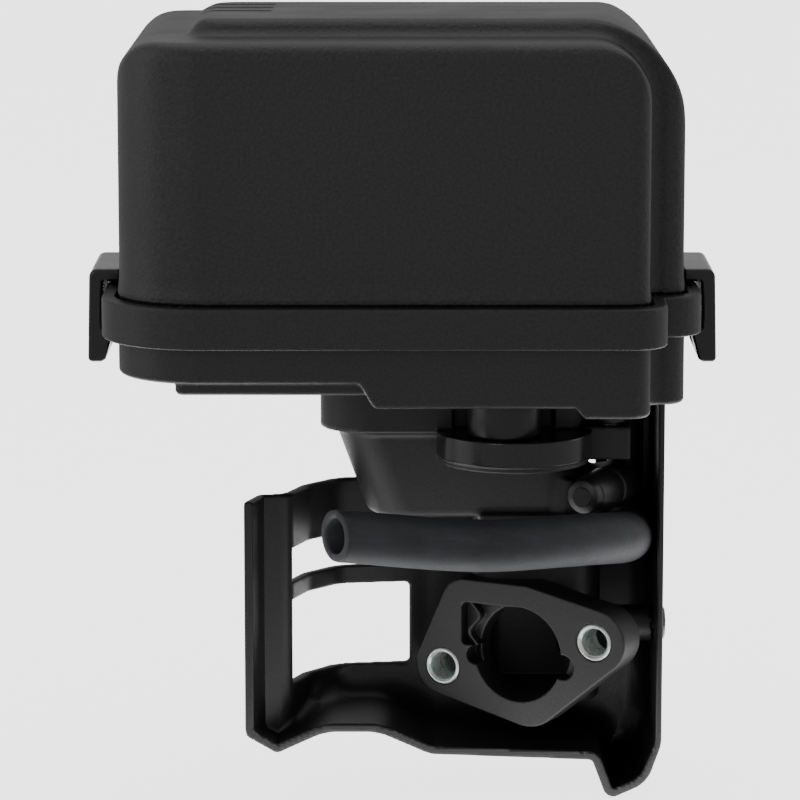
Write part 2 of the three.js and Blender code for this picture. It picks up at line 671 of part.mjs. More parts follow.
function buildHose() {
  const route = HOSE_ROUTE.map(([x, y, z]) => new THREE.Vector3(x, y, z));
  const curve = new THREE.CatmullRomCurve3(route, false, 'centripetal');
  const tube = (radius, sides, path, steps) => solid(new THREE.ExtrudeGeometry(
    new THREE.Shape(circle(radius, sides)),
    { steps, extrudePath: path, curveSegments: 1 },
  ));
  const first = route[1].clone().sub(route[0]).normalize();
  const last = route.at(-1).clone().sub(route.at(-2)).normalize();
  const through = new THREE.CatmullRomCurve3([
    route[0].clone().addScaledVector(first, -2), ...route, route.at(-1).clone().addScaledVector(last, 2),
  ], false, 'centripetal');
  place('breather_hose', cut(tube(HOSE_R, 20, curve, 24), tube(HOSE_BORE_R, 16, through, 26)), blackRubber);
}

// Shield: a tray open to the front, with a cut-away left wing and two windows.
function shieldPlan(inset, right = SHIELD_RIGHT) {
  return outline([
    [SHIELD_LEFT, -30, 0], [right, -30, 0], [right, SHIELD_BACK, 6], [-22, SHIELD_BACK, 20],
    [-44, 30.2, 10], [-52.5, 20.5, 10], [-56.6, 9.8, 3], [-62.8, 8.2, 2], [SHIELD_LEFT, -2, 0],
  ], inset, 4);
}

function shieldSide(inset, right = SHIELD_RIGHT) {
  const open = SHIELD_SIDE_TOP + 2 * SHIELD_THICK;
  return outline([
    [SHIELD_LEFT, -19.5, 3], [-58.1, -24.2, 1.5], [-46.5, -18.9, 14], [-33.6, -18.9, 14], [-21, -24.4, 8],
    [18.2, -25.8, 1.5], [22, -35.9, 2.5], [31.6, -31.6, 8], [right, -22, 8],
    [right, open, 0], [SHIELD_LEFT, open, 0],
  ], inset, 4);
}

function buildShield() {
  const innerRight = SHIELD_RIGHT + SHIELD_THICK - SHIELD_SIDE_THICK;
  const outer = prismAlongY(shieldSide(0), SHIELD_FRONT, CASE_BACK)
    .intersect(prism(shieldPlan(0), -FAR, FAR));
  const inner = prismAlongY(shieldSide(SHIELD_THICK, innerRight), SHIELD_FRONT - 1, CASE_BACK)
    .intersect(prism(shieldPlan(SHIELD_THICK, innerRight), -FAR, FAR));
  const windows = SHIELD_WINDOWS.map(([low, high]) => (
    prismAlongY(outline(rectangle(WINDOW_LEFT, low, WINDOW_RIGHT, high, 1.2), 0, 2), WINDOW_FRONT, CASE_BACK)
  ));
  const tray = cut(
    outer,
    inner,
    box(-FAR, -FAR, SHIELD_TOP, SHIELD_STEP_X, FAR, FAR),
    ...windows,
    ...BACK_SCREWS.map(([x, z]) => bolt([x, 25, z], [x, 45, z], SCREW_R + GAP)),
    bolt([30, SHIELD_SCREW_Y, SHIELD_SCREW_Z], [45, SHIELD_SCREW_Y, SHIELD_SCREW_Z], SCREW_R + GAP),
  );
  place('shield', cut(tray, box(-FAR, -FAR, SHIELD_SIDE_TOP, FAR, FAR, FAR)), blackPlastic);
}

// Pan-head screw with its head's seat at the origin, shank towards -Z.
function screwShape(length, headR = SCREW_HEAD_R, high = SCREW_HEAD_HIGH) {
  const slot = headR * 0.58;
  const halfSlot = 0.35;
  const shape = solid(turned([
    [0, -length], [SCREW_R, -length], [SCREW_R, 0], [headR, 0], [headR, high * 0.37],
    [headR * 0.8, high * 0.8], [headR * 0.4, high * 0.96], [0, high],
  ], 20));
  const cross = join(
    box(-slot, -halfSlot, high * 0.55, slot, halfSlot, high + 1),
    box(-halfSlot, -slot, high * 0.55, halfSlot, slot, high + 1),
  );
  return shape.subtract(cross);
}

function buildShieldScrews() {
  const side = screwShape(9, SIDE_SCREW_HEAD_R, SIDE_SCREW_HEAD_HIGH).rotate([0, 90, 0]);
  const sideSeat = [SHIELD_RIGHT + GAP, SHIELD_SCREW_Y, SHIELD_SCREW_Z];
  place('shield_screw_side', side.translate(sideSeat), glossPlastic);
  BACK_SCREWS.forEach(([x, z], i) => {
    const back = screwShape(7).rotate([-90, 0, 0]);
    place(`shield_screw_back_${i + 1}`, back.translate([x, SHIELD_BACK + GAP, z]), zincSteel);
  });
}

// Filter element: pleated paper between two caps, in a foam sleeve.
function elementPlan(inset) {
  const [cx, cy] = ELEMENT_CENTRE;
  const [wide, deep] = ELEMENT_SIZE;
  return outline(rectangle(cx - wide / 2, cy - deep / 2, cx + wide / 2, cy + deep / 2, 26), inset, 6);
}

function pleatedRing(outerInset, innerInset) {
  const path = new THREE.Shape(elementPlan((outerInset + innerInset) / 2));
  const half = (innerInset - outerInset) / 2;
  const fold = (offset) => Array.from({ length: 2 * PLEATS }, (_, i) => {
    const t = i / (2 * PLEATS);
    const point = path.getPointAt(t);
    const tangent = path.getTangentAt(t);
    const swing = (i % 2 ? 1 : -1) * half + offset;
    return new THREE.Vector2(point.x + tangent.y * swing, point.y - tangent.x * swing);
  });
  const shape = new THREE.Shape(fold(0.5));
  shape.holes.push(new THREE.Path(fold(-0.5)));
  return shape;
}

function buildElement() {
  const low = ELEMENT_BOTTOM + CAP_THICK + GAP;
  const high = ELEMENT_BOTTOM + ELEMENT_HEIGHT - CAP_THICK - GAP;
  const paperOut = FOAM_THICK + 1;
  const foam = cut(prism(elementPlan(0), low, high), prism(elementPlan(FOAM_THICK), low - 1, high + 1));
  place('foam_sleeve', foam, filterFoam);
  const pleats = new THREE.ExtrudeGeometry(pleatedRing(paperOut, paperOut + PAPER_THICK), {
    depth: high - low,
    bevelEnabled: false,
    curveSegments: 1,
  });
  place('paper_element', solid(pleats.translate(0, 0, low)), filterPaper);
  const base = cut(
    prism(elementPlan(0), ELEMENT_BOTTOM, ELEMENT_BOTTOM + CAP_THICK, 0.6),
    prism(elementPlan(paperOut + PAPER_THICK + 1), 0, 200),
  );
  place('element_base_seal', base, blackRubber);
  const top = ELEMENT_BOTTOM + ELEMENT_HEIGHT;
  place('element_top_cap', prism(elementPlan(0), top - CAP_THICK, top, 0.6), blackRubber);
}

buildCase();
buildCover();
buildCoverSeal();
for (const [name, side] of Object.entries(latchSides)) buildClip(name, side);
buildElbow();
buildPlug();
buildSleeves();
buildElbowSeal();
buildElbowFixings();
buildPort();
buildHose();
buildShield();
buildShieldScrews();
buildElement();

export default model;
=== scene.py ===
"""Looks for the air filter housing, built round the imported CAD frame.

Shapes are signed distances in millimetres, negative inside, meshed on a grid and settled on the
surface. Blender gets them in metres. The driving dimensions repeat the CAD source's.
"""

import math

import bpy
import numpy as np
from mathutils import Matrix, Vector


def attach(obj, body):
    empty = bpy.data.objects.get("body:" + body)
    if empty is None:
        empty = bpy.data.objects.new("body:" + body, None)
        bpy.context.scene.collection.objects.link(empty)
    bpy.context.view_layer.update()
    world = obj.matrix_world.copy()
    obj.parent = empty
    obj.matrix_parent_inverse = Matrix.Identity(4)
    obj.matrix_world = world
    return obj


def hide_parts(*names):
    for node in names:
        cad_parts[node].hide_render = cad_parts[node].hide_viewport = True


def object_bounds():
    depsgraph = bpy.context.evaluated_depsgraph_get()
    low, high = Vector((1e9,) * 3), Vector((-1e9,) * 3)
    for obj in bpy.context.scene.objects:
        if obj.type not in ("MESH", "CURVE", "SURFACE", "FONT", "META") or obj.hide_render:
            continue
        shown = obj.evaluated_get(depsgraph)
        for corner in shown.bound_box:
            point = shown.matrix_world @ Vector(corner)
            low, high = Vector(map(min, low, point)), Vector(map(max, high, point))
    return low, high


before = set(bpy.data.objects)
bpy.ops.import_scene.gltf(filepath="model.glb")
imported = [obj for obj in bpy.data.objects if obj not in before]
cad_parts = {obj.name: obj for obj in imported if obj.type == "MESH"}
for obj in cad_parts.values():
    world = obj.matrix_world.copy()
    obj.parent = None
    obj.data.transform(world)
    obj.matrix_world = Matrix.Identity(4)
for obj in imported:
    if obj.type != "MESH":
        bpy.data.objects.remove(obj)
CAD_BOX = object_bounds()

MM = 0.001
COARSE = 1.0

# Driving dimensions, in millimetres
WALL = 2.2
GAP = 0.3
CASE_LEFT, CASE_RIGHT, CASE_FRONT, CASE_BACK = -93.9, 38.3, -40, 60
CASE_RIBS_X = (6, 12)
NOSE_RIGHT, STEP_Y = 29.3, -21
SHALLOW_Z, LEDGE_Z, WELL_Z, DEEP_Z = 72.9, 70, 67.2, 64.8
BAND_OUT, BAND_BOTTOM, BAND_TOP, SEAT_Z = 3.9, 81.4, 91, 83.2
COVER_BOTTOM, COVER_TOP, RAISED_TOP, RAISED_LEFT = 85.5, 151.3, 155.4, -77
RAISED_SLOPE = 0.03
TOP_BEVEL = 4.5
INLET_SLOTS_Y, INLET_SLOT_HALF, INLET_SLOT_RIGHT = (12, 27, 42), 2.8, -59
LATCH_WIDTH, LATCH_Y, LATCH_TOP, LATCH_BOTTOM, LATCH_OUT = 30, 8, 95, 72.8, 4.4
PIVOT_OUT, PIVOT_Z, PIN_R, PIN_FRONT, EAR_WIDTH = 1.4, 77.5, 1.1, 13.6, 9
LUG_HALF, LUG_BOTTOM = 7, 89.6
GRIP_TOP, GRIP_PITCH, GRIP_GROOVES, GRIP_PLAIN = 79.2, 2.1, 6, 2
FLANGE_TURN = math.radians(28)
STUD_S, STUD_W = 20.36, 5.15
SLEEVE_R, SLEEVE_BORE_R, FLANGE_THICK = 4.45, 3.4, 9
BORE_R, NECK_R, NECK_DEPTH = 11.6, 15, 19
FUNNEL_TOP, FUNNEL_SHOULDER, FUNNEL_BOTTOM, FUNNEL_CORNER = 65.3, 54.5, 33, 11
FUNNEL_FOOT, FUNNEL_MOUTH = (-36, 3, 17, 28.5), (-44, 0, 17, 30.5)
DUCT_X, DUCT_Y, DUCT_WIDE, DUCT_DEEP, DUCT_BOTTOM = 5, 18, 31, 23, -14
EAR_X, EAR_Y, EAR_R, EAR_TOP, EAR_BOTTOM = -1, -1, 18.6, 55.6, 48
BLOCK_TOP = EAR_TOP + 0.6
FRONT_BOLT, SIDE_BOLT = (-3.5, -9.5), (22.2, 5)
FRONT_COLLAR_R, SIDE_COLLAR_R, BOLT_R = 8.9, 5.4, 3
PLUG_FRONT, PLUG_LENGTH = (14.9, -10.5, 40.8), 13.4
HOSE_R, HOSE_BORE_R = 6.1, 4.1
SHIELD_FRONT, SHIELD_BACK, SHIELD_TOP, SHIELD_SIDE_TOP = -2, 33.4, 37.9, 62.5
SHIELD_THICK, SHIELD_SIDE_THICK, SHIELD_LEFT, SHIELD_RIGHT, SHIELD_STEP_X = 2.2, 1.6, -66.2, 35, 20
SHIELD_SCREW_Y, SHIELD_SCREW_Z = 12, 5.2
BACK_SCREWS = ((-2, 20), (13, -4))
SCREW_R, SCREW_BOSS_R = 1.9, 4.4
PORT, PORT_STEM_R = (27, 24), 4.4

# The breather hose's route, in metres, as the CAD source has it
HOSE_ROUTE = [
    (0.0270, 0.0175, 0.0280), (0.0270, 0.0130, 0.0280), (0.0269, 0.0085, 0.0282),
    (0.0266, 0.0040, 0.0286), (0.0259, -0.0005, 0.0292), (0.0249, -0.0050, 0.0300),
    (0.0235, -0.0094, 0.0308), (0.0215, -0.0136, 0.0316), (0.0189, -0.0176, 0.0323),
    (0.0158, -0.0212, 0.0329), (0.0122, -0.0244, 0.0333), (0.0080, -0.0271, 0.0336),
    (0.0032, -0.0294, 0.0337), (-0.0020, -0.0312, 0.0337), (-0.0076, -0.0326, 0.0338),
    (-0.0134, -0.0337, 0.0341), (-0.0194, -0.0345, 0.0346), (-0.0254, -0.0352, 0.0352),
    (-0.0316, -0.0359, 0.0359), (-0.0378, -0.0367, 0.0366), (-0.0436, -0.0376, 0.0372),
]

# ---------------------------------------------------------------- camera
CAMERA_AT = (-0.0283, -0.9741, 0.2342)
CAMERA_DOWN = math.radians(10)
CAMERA_SENSOR, CAMERA_LENS = 36, 186.3
camera = bpy.data.objects.new("camera", bpy.data.cameras.new("camera"))
bpy.context.scene.collection.objects.link(camera)
camera.location = CAMERA_AT
camera.rotation_euler = (math.pi / 2 - CAMERA_DOWN, 0, 0)
camera.data.sensor_width = CAMERA_SENSOR
camera.data.lens = CAMERA_LENS
camera.data.clip_start = 0.05
camera.data.clip_end = 20
bpy.context.scene.camera = camera


# ---------------------------------------------------------------- distances
def round_max(a, b, r=0.0):
    """Where two shapes meet, with the outer edge rounded by r."""
    return np.minimum(np.maximum(a, b), -r) + np.hypot(np.maximum(a + r, 0), np.maximum(b + r, 0))


def round_min(a, b, r=0.0):
    """Two shapes together, with the inner corner filled by radius r."""
    return -round_max(-a, -b, r)


def cut(a, b, r=0.0):
    return round_max(a, -b, r)


def join(r, first, *others):
    for other in others:
        first = round_min(first, other, r)
    return first


def outline(corners):
    """Distance to a closed outline, given as anticlockwise (x, y, radius) corners."""
    points = np.array([c[:2] for c in corners], float)
    count = len(points)
    arcs, ends = [], []
    for i in range(count):
        r = max(corners[i][2], 0.05)
        before, after = points[i] - points[i - 1], points[(i + 1) % count] - points[i]
        before, after = before / np.linalg.norm(before), after / np.linalg.norm(after)
        cross = before[0] * after[1] - before[1] * after[0]
        back = r * math.tan(math.acos(np.clip(before @ after, -1, 1)) / 2)
        start = points[i] - before * back
        side = math.copysign(1, cross)
        centre = start + side * r * np.array([-before[1], before[0]])
        arcs.append((centre, r, side, before, after))
        ends.append((start, points[i] + after * back))

    def distance(x, y):
        best = 1e9
        nearest = 1e9
        for i in range(count):
            p, q = ends[i][1], ends[(i + 1) % count][0]
            length = math.hypot(*(q - p))
            u = (q - p) / max(length, 1e-9)
            dx, dy = x - p[0], y - p[1]
            t = np.clip(dx * u[0] + dy * u[1], 0, length)
            off = np.hypot(dx - t * u[0], dy - t * u[1])
            signed = np.where(u[0] * dy - u[1] * dx > 0, -off, off)
            nearest = np.where(off < best, signed, nearest)
            best = np.minimum(best, off)
            c, r, side, a, b = arcs[i]
            dx, dy = x - c[0], y - c[1]
            ring = side * (np.hypot(dx, dy) - r)
            here = (dx * a[0] + dy * a[1] >= 0) & (dx * b[0] + dy * b[1] <= 0)
            off = np.where(here, np.abs(ring), 1e9)
            nearest = np.where(off < best, ring, nearest)
            best = np.minimum(best, off)
        return nearest

    return distance


def rectangle(x, y, x0, y0, x1, y1, r=0.0):
    """Distance to a rectangle with round corners."""
    qx = np.abs(x - (x0 + x1) / 2) - (x1 - x0) / 2 + r
    qy = np.abs(y - (y0 + y1) / 2) - (y1 - y0) / 2 + r
    return np.minimum(np.maximum(qx, qy), 0) + np.hypot(np.maximum(qx, 0), np.maximum(qy, 0)) - r


def slab(z, low, high):
    return np.abs(z - (low + high) / 2) - (high - low) / 2


def box(x, y, z, low, high, r=0.0):
    flat = round_max(slab(x, low[0], high[0]), slab(y, low[1], high[1]), r)
    return round_max(flat, slab(z, low[2], high[2]), r)


def rod(x, y, z, start, end, r0, r1=None, edge=0.0):
    """A cylinder or cone between two points."""
    r1 = r0 if r1 is None else r1
    start, end = np.array(start, float), np.array(end, float)
    length = np.linalg.norm(end - start)
    n = (end - start) / length
    dx, dy, dz = x - start[0], y - start[1], z - start[2]
    u = dx * n[0] + dy * n[1] + dz * n[2]
    out = np.sqrt(np.maximum(dx * dx + dy * dy + dz * dz - u * u, 0))
    side = (out - r0 - (r1 - r0) * np.clip(u / length, 0, 1)) / math.hypot(1, (r1 - r0) / length)
    return round_max(side, np.abs(u - length / 2) - length / 2, edge)


def taper(x, y, a, b):
    """Distance to two circles (x, y, radius) and the belt round them."""
    h = math.hypot(b[0] - a[0], b[1] - a[1])
    ux, uy = (b[0] - a[0]) / h, (b[1] - a[1]) / h
    dx, dy = x - a[0], y - a[1]
    along = dx * ux + dy * uy
    out = np.abs(dy * ux - dx * uy)
    k = (a[2] - b[2]) / h
    s = math.sqrt(1 - k * k)
    t = along * s - out * k
    first = np.hypot(out, along) - a[2]
    last = np.hypot(out, along - h) - b[2]
    return np.where(t < 0, first, np.where(t > s * h, last, out * s + along * k - a[2]))


def belt(circles):
    """Distance to the belt round circles listed anticlockwise."""
    inner = outline([(x, y, 0) for x, y, _ in circles])

    def distance(x, y):
        d = inner(x, y)
        for i, a in enumerate(circles):
            d = np.minimum(d, taper(x, y, a, circles[(i + 1) % len(circles)]))
        return d

    return distance


# ---------------------------------------------------------------- meshing
def lines(low, high, step, *fine):
    """Grid lines from low to high, closer together in the fine (from, to, step) ranges."""
    breaks = sorted({low, high, *(v for f in fine for v in f[:2] if low < v < high)})
    out = [low]
    for a, b in zip(breaks, breaks[1:]):
        steps = [f[2] * COARSE for f in fine if f[0] <= (a + b) / 2 <= f[1]]
        size = min([step * COARSE, *steps])
        out += list(np.linspace(a, b, max(1, math.ceil((b - a) / size)) + 1)[1:])
    return np.array(out)


def settle(field, points, reach):
    """Moves points onto the surface and gives its normals there."""
    corners = np.array([(1, -1, -1), (-1, -1, 1), (-1, 1, -1), (1, 1, 1)]) / math.sqrt(3)
    small = 0.03
    passes = 4
    for turn in range(passes):
        total, slope = 0, 0
        for k in corners:
            value = field(*(points + small * k).T)
            total = total + value / 4
            slope = slope + value[:, None] * k
        slope *= 3 / (4 * small)
        size = np.maximum(np.linalg.norm(slope, axis=1), 0.2)[:, None]
        normal = slope / size
        if turn < passes - 1:
            points = points - normal * np.clip(total[:, None] / size, -reach, reach)
    return points, normal


def surface(field, xs, ys, zs, reach=0.6):
    """Vertices, normals and quads of a field's zero surface."""
    axes = (xs, ys, zs)
    value = np.broadcast_to(
        field(xs[:, None, None], ys[None, :, None], zs[None, None, :]),
        (len(xs), len(ys), len(zs)),
    ).astype(np.float32)
    if any((np.take(value, i, axis) < 0).any() for axis in range(3) for i in (0, -1)):
        raise ValueError("the grid cuts the shape off")
    inside = value < 0
    count = sum(
        inside[i: i + len(xs) - 1, j: j + len(ys) - 1, k: k + len(zs) - 1].astype(np.int8)
        for i in (0, 1) for j in (0, 1) for k in (0, 1)
    )
    cell = (count > 0) & (count < 8)
    number = np.full(cell.shape, -1)
    number[cell] = np.arange(cell.sum())
    total, hits = np.zeros((cell.sum(), 3)), np.zeros(cell.sum())
    quads = []
    for axis in range(3):
        a, b = (axis + 1) % 3, (axis + 2) % 3
        first = np.take(inside, range(len(axes[axis]) - 1), axis)
        second = np.take(inside, range(1, len(axes[axis])), axis)
        at = np.argwhere(first != second)
        after = at.copy()
        after[:, axis] += 1
        v0, v1 = value[tuple(at.T)], value[tuple(after.T)]
        point = np.stack([axes[i][at[:, i]] for i in range(3)], 1)
        point[:, axis] += v0 / (v0 - v1) * (axes[axis][after[:, axis]] - point[:, axis])
        ring = []
        for da, db in ((-1, -1), (0, -1), (0, 0), (-1, 0)):
            near = at.copy()
            near[:, a] += da
            near[:, b] += db
            n = number[tuple(near.T)]
            ring.append(n)
            for i in range(3):
                total[:, i] += np.bincount(n, point[:, i], len(hits))
            hits += np.bincount(n, minlength=len(hits))
        quad = np.stack(ring, 1)
        out = first[tuple(at.T)]
        quads.append(np.where(out[:, None], quad, quad[:, ::-1]))
    points, normals = settle(field, total / hits[:, None], reach)
    return points, normals, np.concatenate(quads)


def make(name, points, faces, material, body="housing", replaces=(), normals=None, smooth=True):
    """A piece from points in millimetres."""
    mesh = bpy.data.meshes.new(name)
    faces = faces.tolist() if hasattr(faces, "tolist") else faces
    mesh.from_pydata((np.asarray(points) * MM).tolist(), [], faces)
    mesh.validate()
    if smooth:
        mesh.shade_smooth()
    if normals is not None:
        mesh.normals_split_custom_set_from_vertices(normals.tolist())
    piece = bpy.data.objects.new(name, mesh)
    bpy.context.scene.collection.objects.link(piece)
    mesh.materials.append(material)
    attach(piece, body)
    if replaces:
        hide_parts(*replaces)
    return piece


def mould(name, field, grid, material, body="housing", replaces=(), reach=0.6, turn=0.0):
    """A meshed field; turn sets it round the vertical axis."""
    points, normals, quads = surface(field, *grid, reach)
    if turn:
        c, t = math.cos(turn), math.sin(turn)
        matrix = np.array([(c, t, 0), (-t, c, 0), (0, 0, 1)])
        points, normals = points @ matrix.T, normals @ matrix.T
    return make(name, points, quads, material, body, replaces, normals)


def turned(name, profile, start, axis, material, replaces=(), body="housing", sides=72, smooth=35):
    """A closed ring or solid turned round an axis, from (radius, height) points."""
    n = Vector(axis).normalized()
    u = n.orthogonal().normalized()
    v = n.cross(u)
    start = Vector(start)
    points, faces = [], []
    closed = profile[0] == profile[-1]
    rows = profile[:-1] if closed else profile
    index = []
    for r, h in rows:
        if r < 1e-6:
            index.append([len(points)] * sides)
            points.append(start + n * h)
            continue
        index.append(list(range(len(points), len(points) + sides)))
        for k in range(sides):
            angle = 2 * math.pi * k / sides
            points.append(start + n * h + (u * math.cos(angle) + v * math.sin(angle)) * r)
    pairs = list(zip(index, index[1:]))
    if closed:
        pairs.append((index[-1], index[0]))
    for low, high in pairs:
        for k in range(sides):
            j = (k + 1) % sides
            corners = [low[k], low[j], high[j], high[k]]
            kept = [c for i, c in enumerate(corners) if c not in corners[:i]]
            if len(kept) > 2:
                faces.append(kept)
    piece = make(name, [tuple(p) for p in points], faces, material, body, replaces)
    mesh = piece.data
    mesh.update()
    if sum(p.normal.dot(p.center) * p.area for p in mesh.polygons) < 0 and not closed:
        mesh.flip_normals()
    mesh.set_sharp_from_angle(angle=math.radians(smooth))
    return piece


# ---------------------------------------------------------------- materials
class Nodes:
    """A short way to add linked shader nodes."""

    def __init__(self, name):
        self.material = bpy.data.materials.new(name)
        self.material.use_nodes = True
        self.tree = self.material.node_tree
        self.shader = self.tree.nodes["Principled BSDF"]
        self.where = self.add("ShaderNodeTexCoord").outputs["Object"]

    def add(self, kind, settings=(), **inputs):
        node = self.tree.nodes.new(kind)
        for key, value in dict(settings).items():
            setattr(node, key, value)
        for key, value in inputs.items():
            self.set(node.inputs[key.replace("_", " ")], value)
        return node

    def set(self, socket, value):
        if isinstance(value, bpy.types.NodeSocket):
            self.tree.links.new(value, socket)
        else:
            socket.default_value = value

    def noise(self, scale, detail=2.0, rough=0.5, vector=None):
        node = self.add("ShaderNodeTexNoise", Scale=scale, Detail=detail, Roughness=rough,
                        Vector=vector or self.where)
        return node.outputs["Fac"]

    def cells(self, scale, vector=None):
        node = self.add("ShaderNodeTexVoronoi", Scale=scale, Vector=vector or self.where)
        return node.outputs["Distance"]

    def span(self, value, low, high, to_low=0.0, to_high=1.0):
        node = self.add("ShaderNodeMapRange", {"clamp": True})
        for i, v in enumerate((value, low, high, to_low, to_high)):
            self.set(node.inputs[i], v)
        return node.outputs["Result"]

    def math(self, how, a, b=0.0):
        node = self.add("ShaderNodeMath", {"operation": how})
        self.set(node.inputs[0], a)
        self.set(node.inputs[1], b)
        return node.outputs[0]

    def mix(self, factor, a, b):
        node = self.add("ShaderNodeMix", {"data_type": "RGBA"})
        self.set(node.inputs["Factor"], factor)
        self.set(node.inputs[6], a)
        self.set(node.inputs[7], b)
        return node.outputs[2]

    def bump(self, height, distance, strength=1.0, normal=None):
        node = self.add("ShaderNodeBump", Strength=strength, Distance=distance, Height=height)
        if normal is not None:
            self.set(node.inputs["Normal"], normal)
        return node.outputs["Normal"]

    def finish(self, **inputs):
        for key, value in inputs.items():
            self.set(self.shader.inputs[key.replace("_", " ")], value)
        return self.material


def grey(value, blue=0.0):
    return (value, value, value * (1 + blue), 1)


def moulded(name, dark, light, rough, grain, depth, dust=0.0, gloss_spot=None):
    """Black moulded plastic: spark-eroded grain, mottled sheen, faint rub marks and stray dust."""
    m = Nodes(name)
    fine = m.noise(grain, 3, 0.6)
    pits = m.cells(grain * 0.8)
    patch = m.noise(38, 3, 0.55)
    colour = m.mix(m.span(fine, 0.35, 0.7), grey(dark), grey(light, 0.03))
    scuff = m.add("ShaderNodeMapping", Vector=m.where, Scale=(20, 20, 260))
    rub = m.span(m.noise(9, 4, 0.7, scuff.outputs[0]), 0.62, 0.8)
    colour = m.mix(m.math("MULTIPLY", rub, 0.25), colour, grey(light * 2.2))
    if dust:
        speck = m.add("ShaderNodeTexVoronoi", Scale=150, Vector=m.where, Randomness=1.0)
        near = m.span(speck.outputs["Distance"], 0.03, 0.05, 1, 0)
        pick = m.span(speck.outputs["Color"], 1 - dust, 1 - dust + 0.01)
        colour = m.mix(m.math("MULTIPLY", near, pick), colour, grey(0.5))
    roughness = m.span(patch, 0.3, 0.7, rough - 0.05, rough + 0.05)
    roughness = m.math("ADD", roughness, m.span(fine, 0.3, 0.7, -0.04, 0.04))
    if gloss_spot is not None:
        roughness = gloss_spot(m, roughness)
    height = m.math("ADD", fine, m.math("MULTIPLY", pits, 0.5))
    normal = m.bump(height, depth * MM, 1.0, m.bump(patch, 0.12 * MM, 0.3))
    return m.finish(Base_Color=colour, Roughness=roughness, Normal=normal, IOR=1.5)


def ear_gloss(m, roughness):
    """The ear's rim is polished above its lip, and a little uneven."""
    split = m.add("ShaderNodeSeparateXYZ", Vector=m.where)
    up = m.span(split.outputs["Z"], (EAR_BOTTOM + 1.4) * MM, (EAR_BOTTOM + 1.7) * MM)
    node = m.add("ShaderNodeMix", {"data_type": "FLOAT"})
    m.set(node.inputs["Factor"], up)
    m.set(node.inputs[2], roughness)
    m.set(node.inputs[3], m.span(m.noise(160, 2), 0.3, 0.7, 0.14, 0.26))
    return node.outputs[0]


def zinc(name, metallic):
    """Bright zinc plate: thin blue and yellow tints, fine turning marks."""
    m = Nodes(name)
    tint = m.mix(m.span(m.noise(170, 3), 0.35, 0.65), (0.60, 0.70, 0.70, 1), (0.78, 0.80, 0.74, 1))
    tint = m.mix(m.span(m.noise(900, 3), 0.55, 0.8), tint, (0.45, 0.5, 0.52, 1))
    rough = m.span(m.noise(420, 3), 0.3, 0.7, 0.2, 0.36)
    rings = m.add("ShaderNodeTexNoise", Scale=1500, Detail=3, Vector=m.where)
    normal = m.bump(rings.outputs["Fac"], 0.015 * MM, 0.6)
    return m.finish(Base_Color=tint, Metallic=metallic, Roughness=rough, Normal=normal)


def hose_rubber():
    """Dull extruded rubber: a grey bloom, faint lengthwise streaks and scuffs."""
    m = Nodes("hose_rubber")
    streak = m.add("ShaderNodeMapping", Vector=m.where, Scale=(22, 260, 260))
    along = m.noise(2.2, 4, 0.6, streak.outputs[0])
    bloom = m.noise(75, 4, 0.6)
    fine = m.noise(2200, 3, 0.6)
    colour = m.mix(m.span(bloom, 0.3, 0.72), (0.017, 0.0173, 0.0205, 1), (0.031, 0.032, 0.039, 1))
    colour = m.mix(m.span(along, 0.52, 0.75, 0, 0.55), colour, (0.045, 0.046, 0.056, 1))
    scuff = m.span(m.noise(320, 5, 0.75), 0.66, 0.74, 0, 0.5)
    colour = m.mix(scuff, colour, (0.07, 0.072, 0.085, 1))
    rough = m.span(fine, 0.3, 0.7, 0.56, 0.7)
    normal = m.bump(m.math("ADD", fine, along), 0.03 * MM, 0.8)
    return m.finish(Base_Color=colour, Roughness=rough, Normal=normal, IOR=1.5)


def soft_rubber():
    m = Nodes("soft_rubber")
    fine = m.noise(1500, 3)
    colour = m.mix(fine, (0.012, 0.012, 0.013, 1), (0.024, 0.024, 0.027, 1))
    rough = m.span(m.noise(90, 3), 0.3, 0.7, 0.5, 0.66)
    return m.finish(Base_Color=colour, Roughness=rough, Normal=m.bump(fine, 0.02 * MM))


def foam():
    m = Nodes("filter_foam")
    pores = m.cells(900)
    # The foam's own dark grey turns darker towards each pore's centre, where the bump sinks it: that
    # darkening is painted shade in the pores
    colour = m.mix(m.span(pores, 0.15, 0.6), (0.004, 0.004, 0.005, 1), (0.045, 0.047, 0.055, 1))
    return m.finish(Base_Color=colour, Roughness=0.95, Normal=m.bump(pores, 0.4 * MM))


def paper():
    m = Nodes("filter_paper")
    fibre = m.noise(1600, 5, 0.7)
    colour = m.mix(fibre, (0.55, 0.47, 0.28, 1), (0.78, 0.70, 0.48, 1))
    return m.finish(Base_Color=colour, Roughness=0.9, Normal=m.bump(fibre, 0.05 * MM))


COVER_BLACK = moulded("cover_black", dark=0.008, light=0.022, rough=0.44, grain=1350, depth=0.11, dust=0.006)
CASE_BLACK = moulded("case_black", dark=0.007, light=0.018, rough=0.46, grain=1500, depth=0.08, dust=0.006)
ELBOW_BLACK = moulded("elbow_black", dark=0.005, light=0.012, rough=0.5, grain=1900, depth=0.035, dust=0.003)
FLANGE_BLACK = moulded("flange_black", dark=0.006, light=0.013, rough=0.5, grain=1900, depth=0.035,
                       dust=0.003)
EAR_GLOSS = moulded("ear_gloss", dark=0.010, light=0.018, rough=0.5, grain=1900, depth=0.008,
                    gloss_spot=ear_gloss)
SHIELD_BLACK = moulded("shield_black", dark=0.005, light=0.012, rough=0.42, grain=2000, depth=0.03,
                       dust=0.003)
PORT_BLACK = moulded("port_black", dark=0.009, light=0.018, rough=0.5, grain=1900, depth=0.03)
CLIP_BLACK = moulded("clip_black", dark=0.005, light=0.010, rough=0.22, grain=1400, depth=0.012)
COLLAR_BLACK = moulded("collar_black", dark=0.005, light=0.010, rough=0.3, grain=2300, depth=0.005)
PLUG_BLACK = moulded("plug_black", dark=0.008, light=0.016, rough=0.36, grain=1900, depth=0.03)
ZINC = zinc("zinc_steel", 1.0)
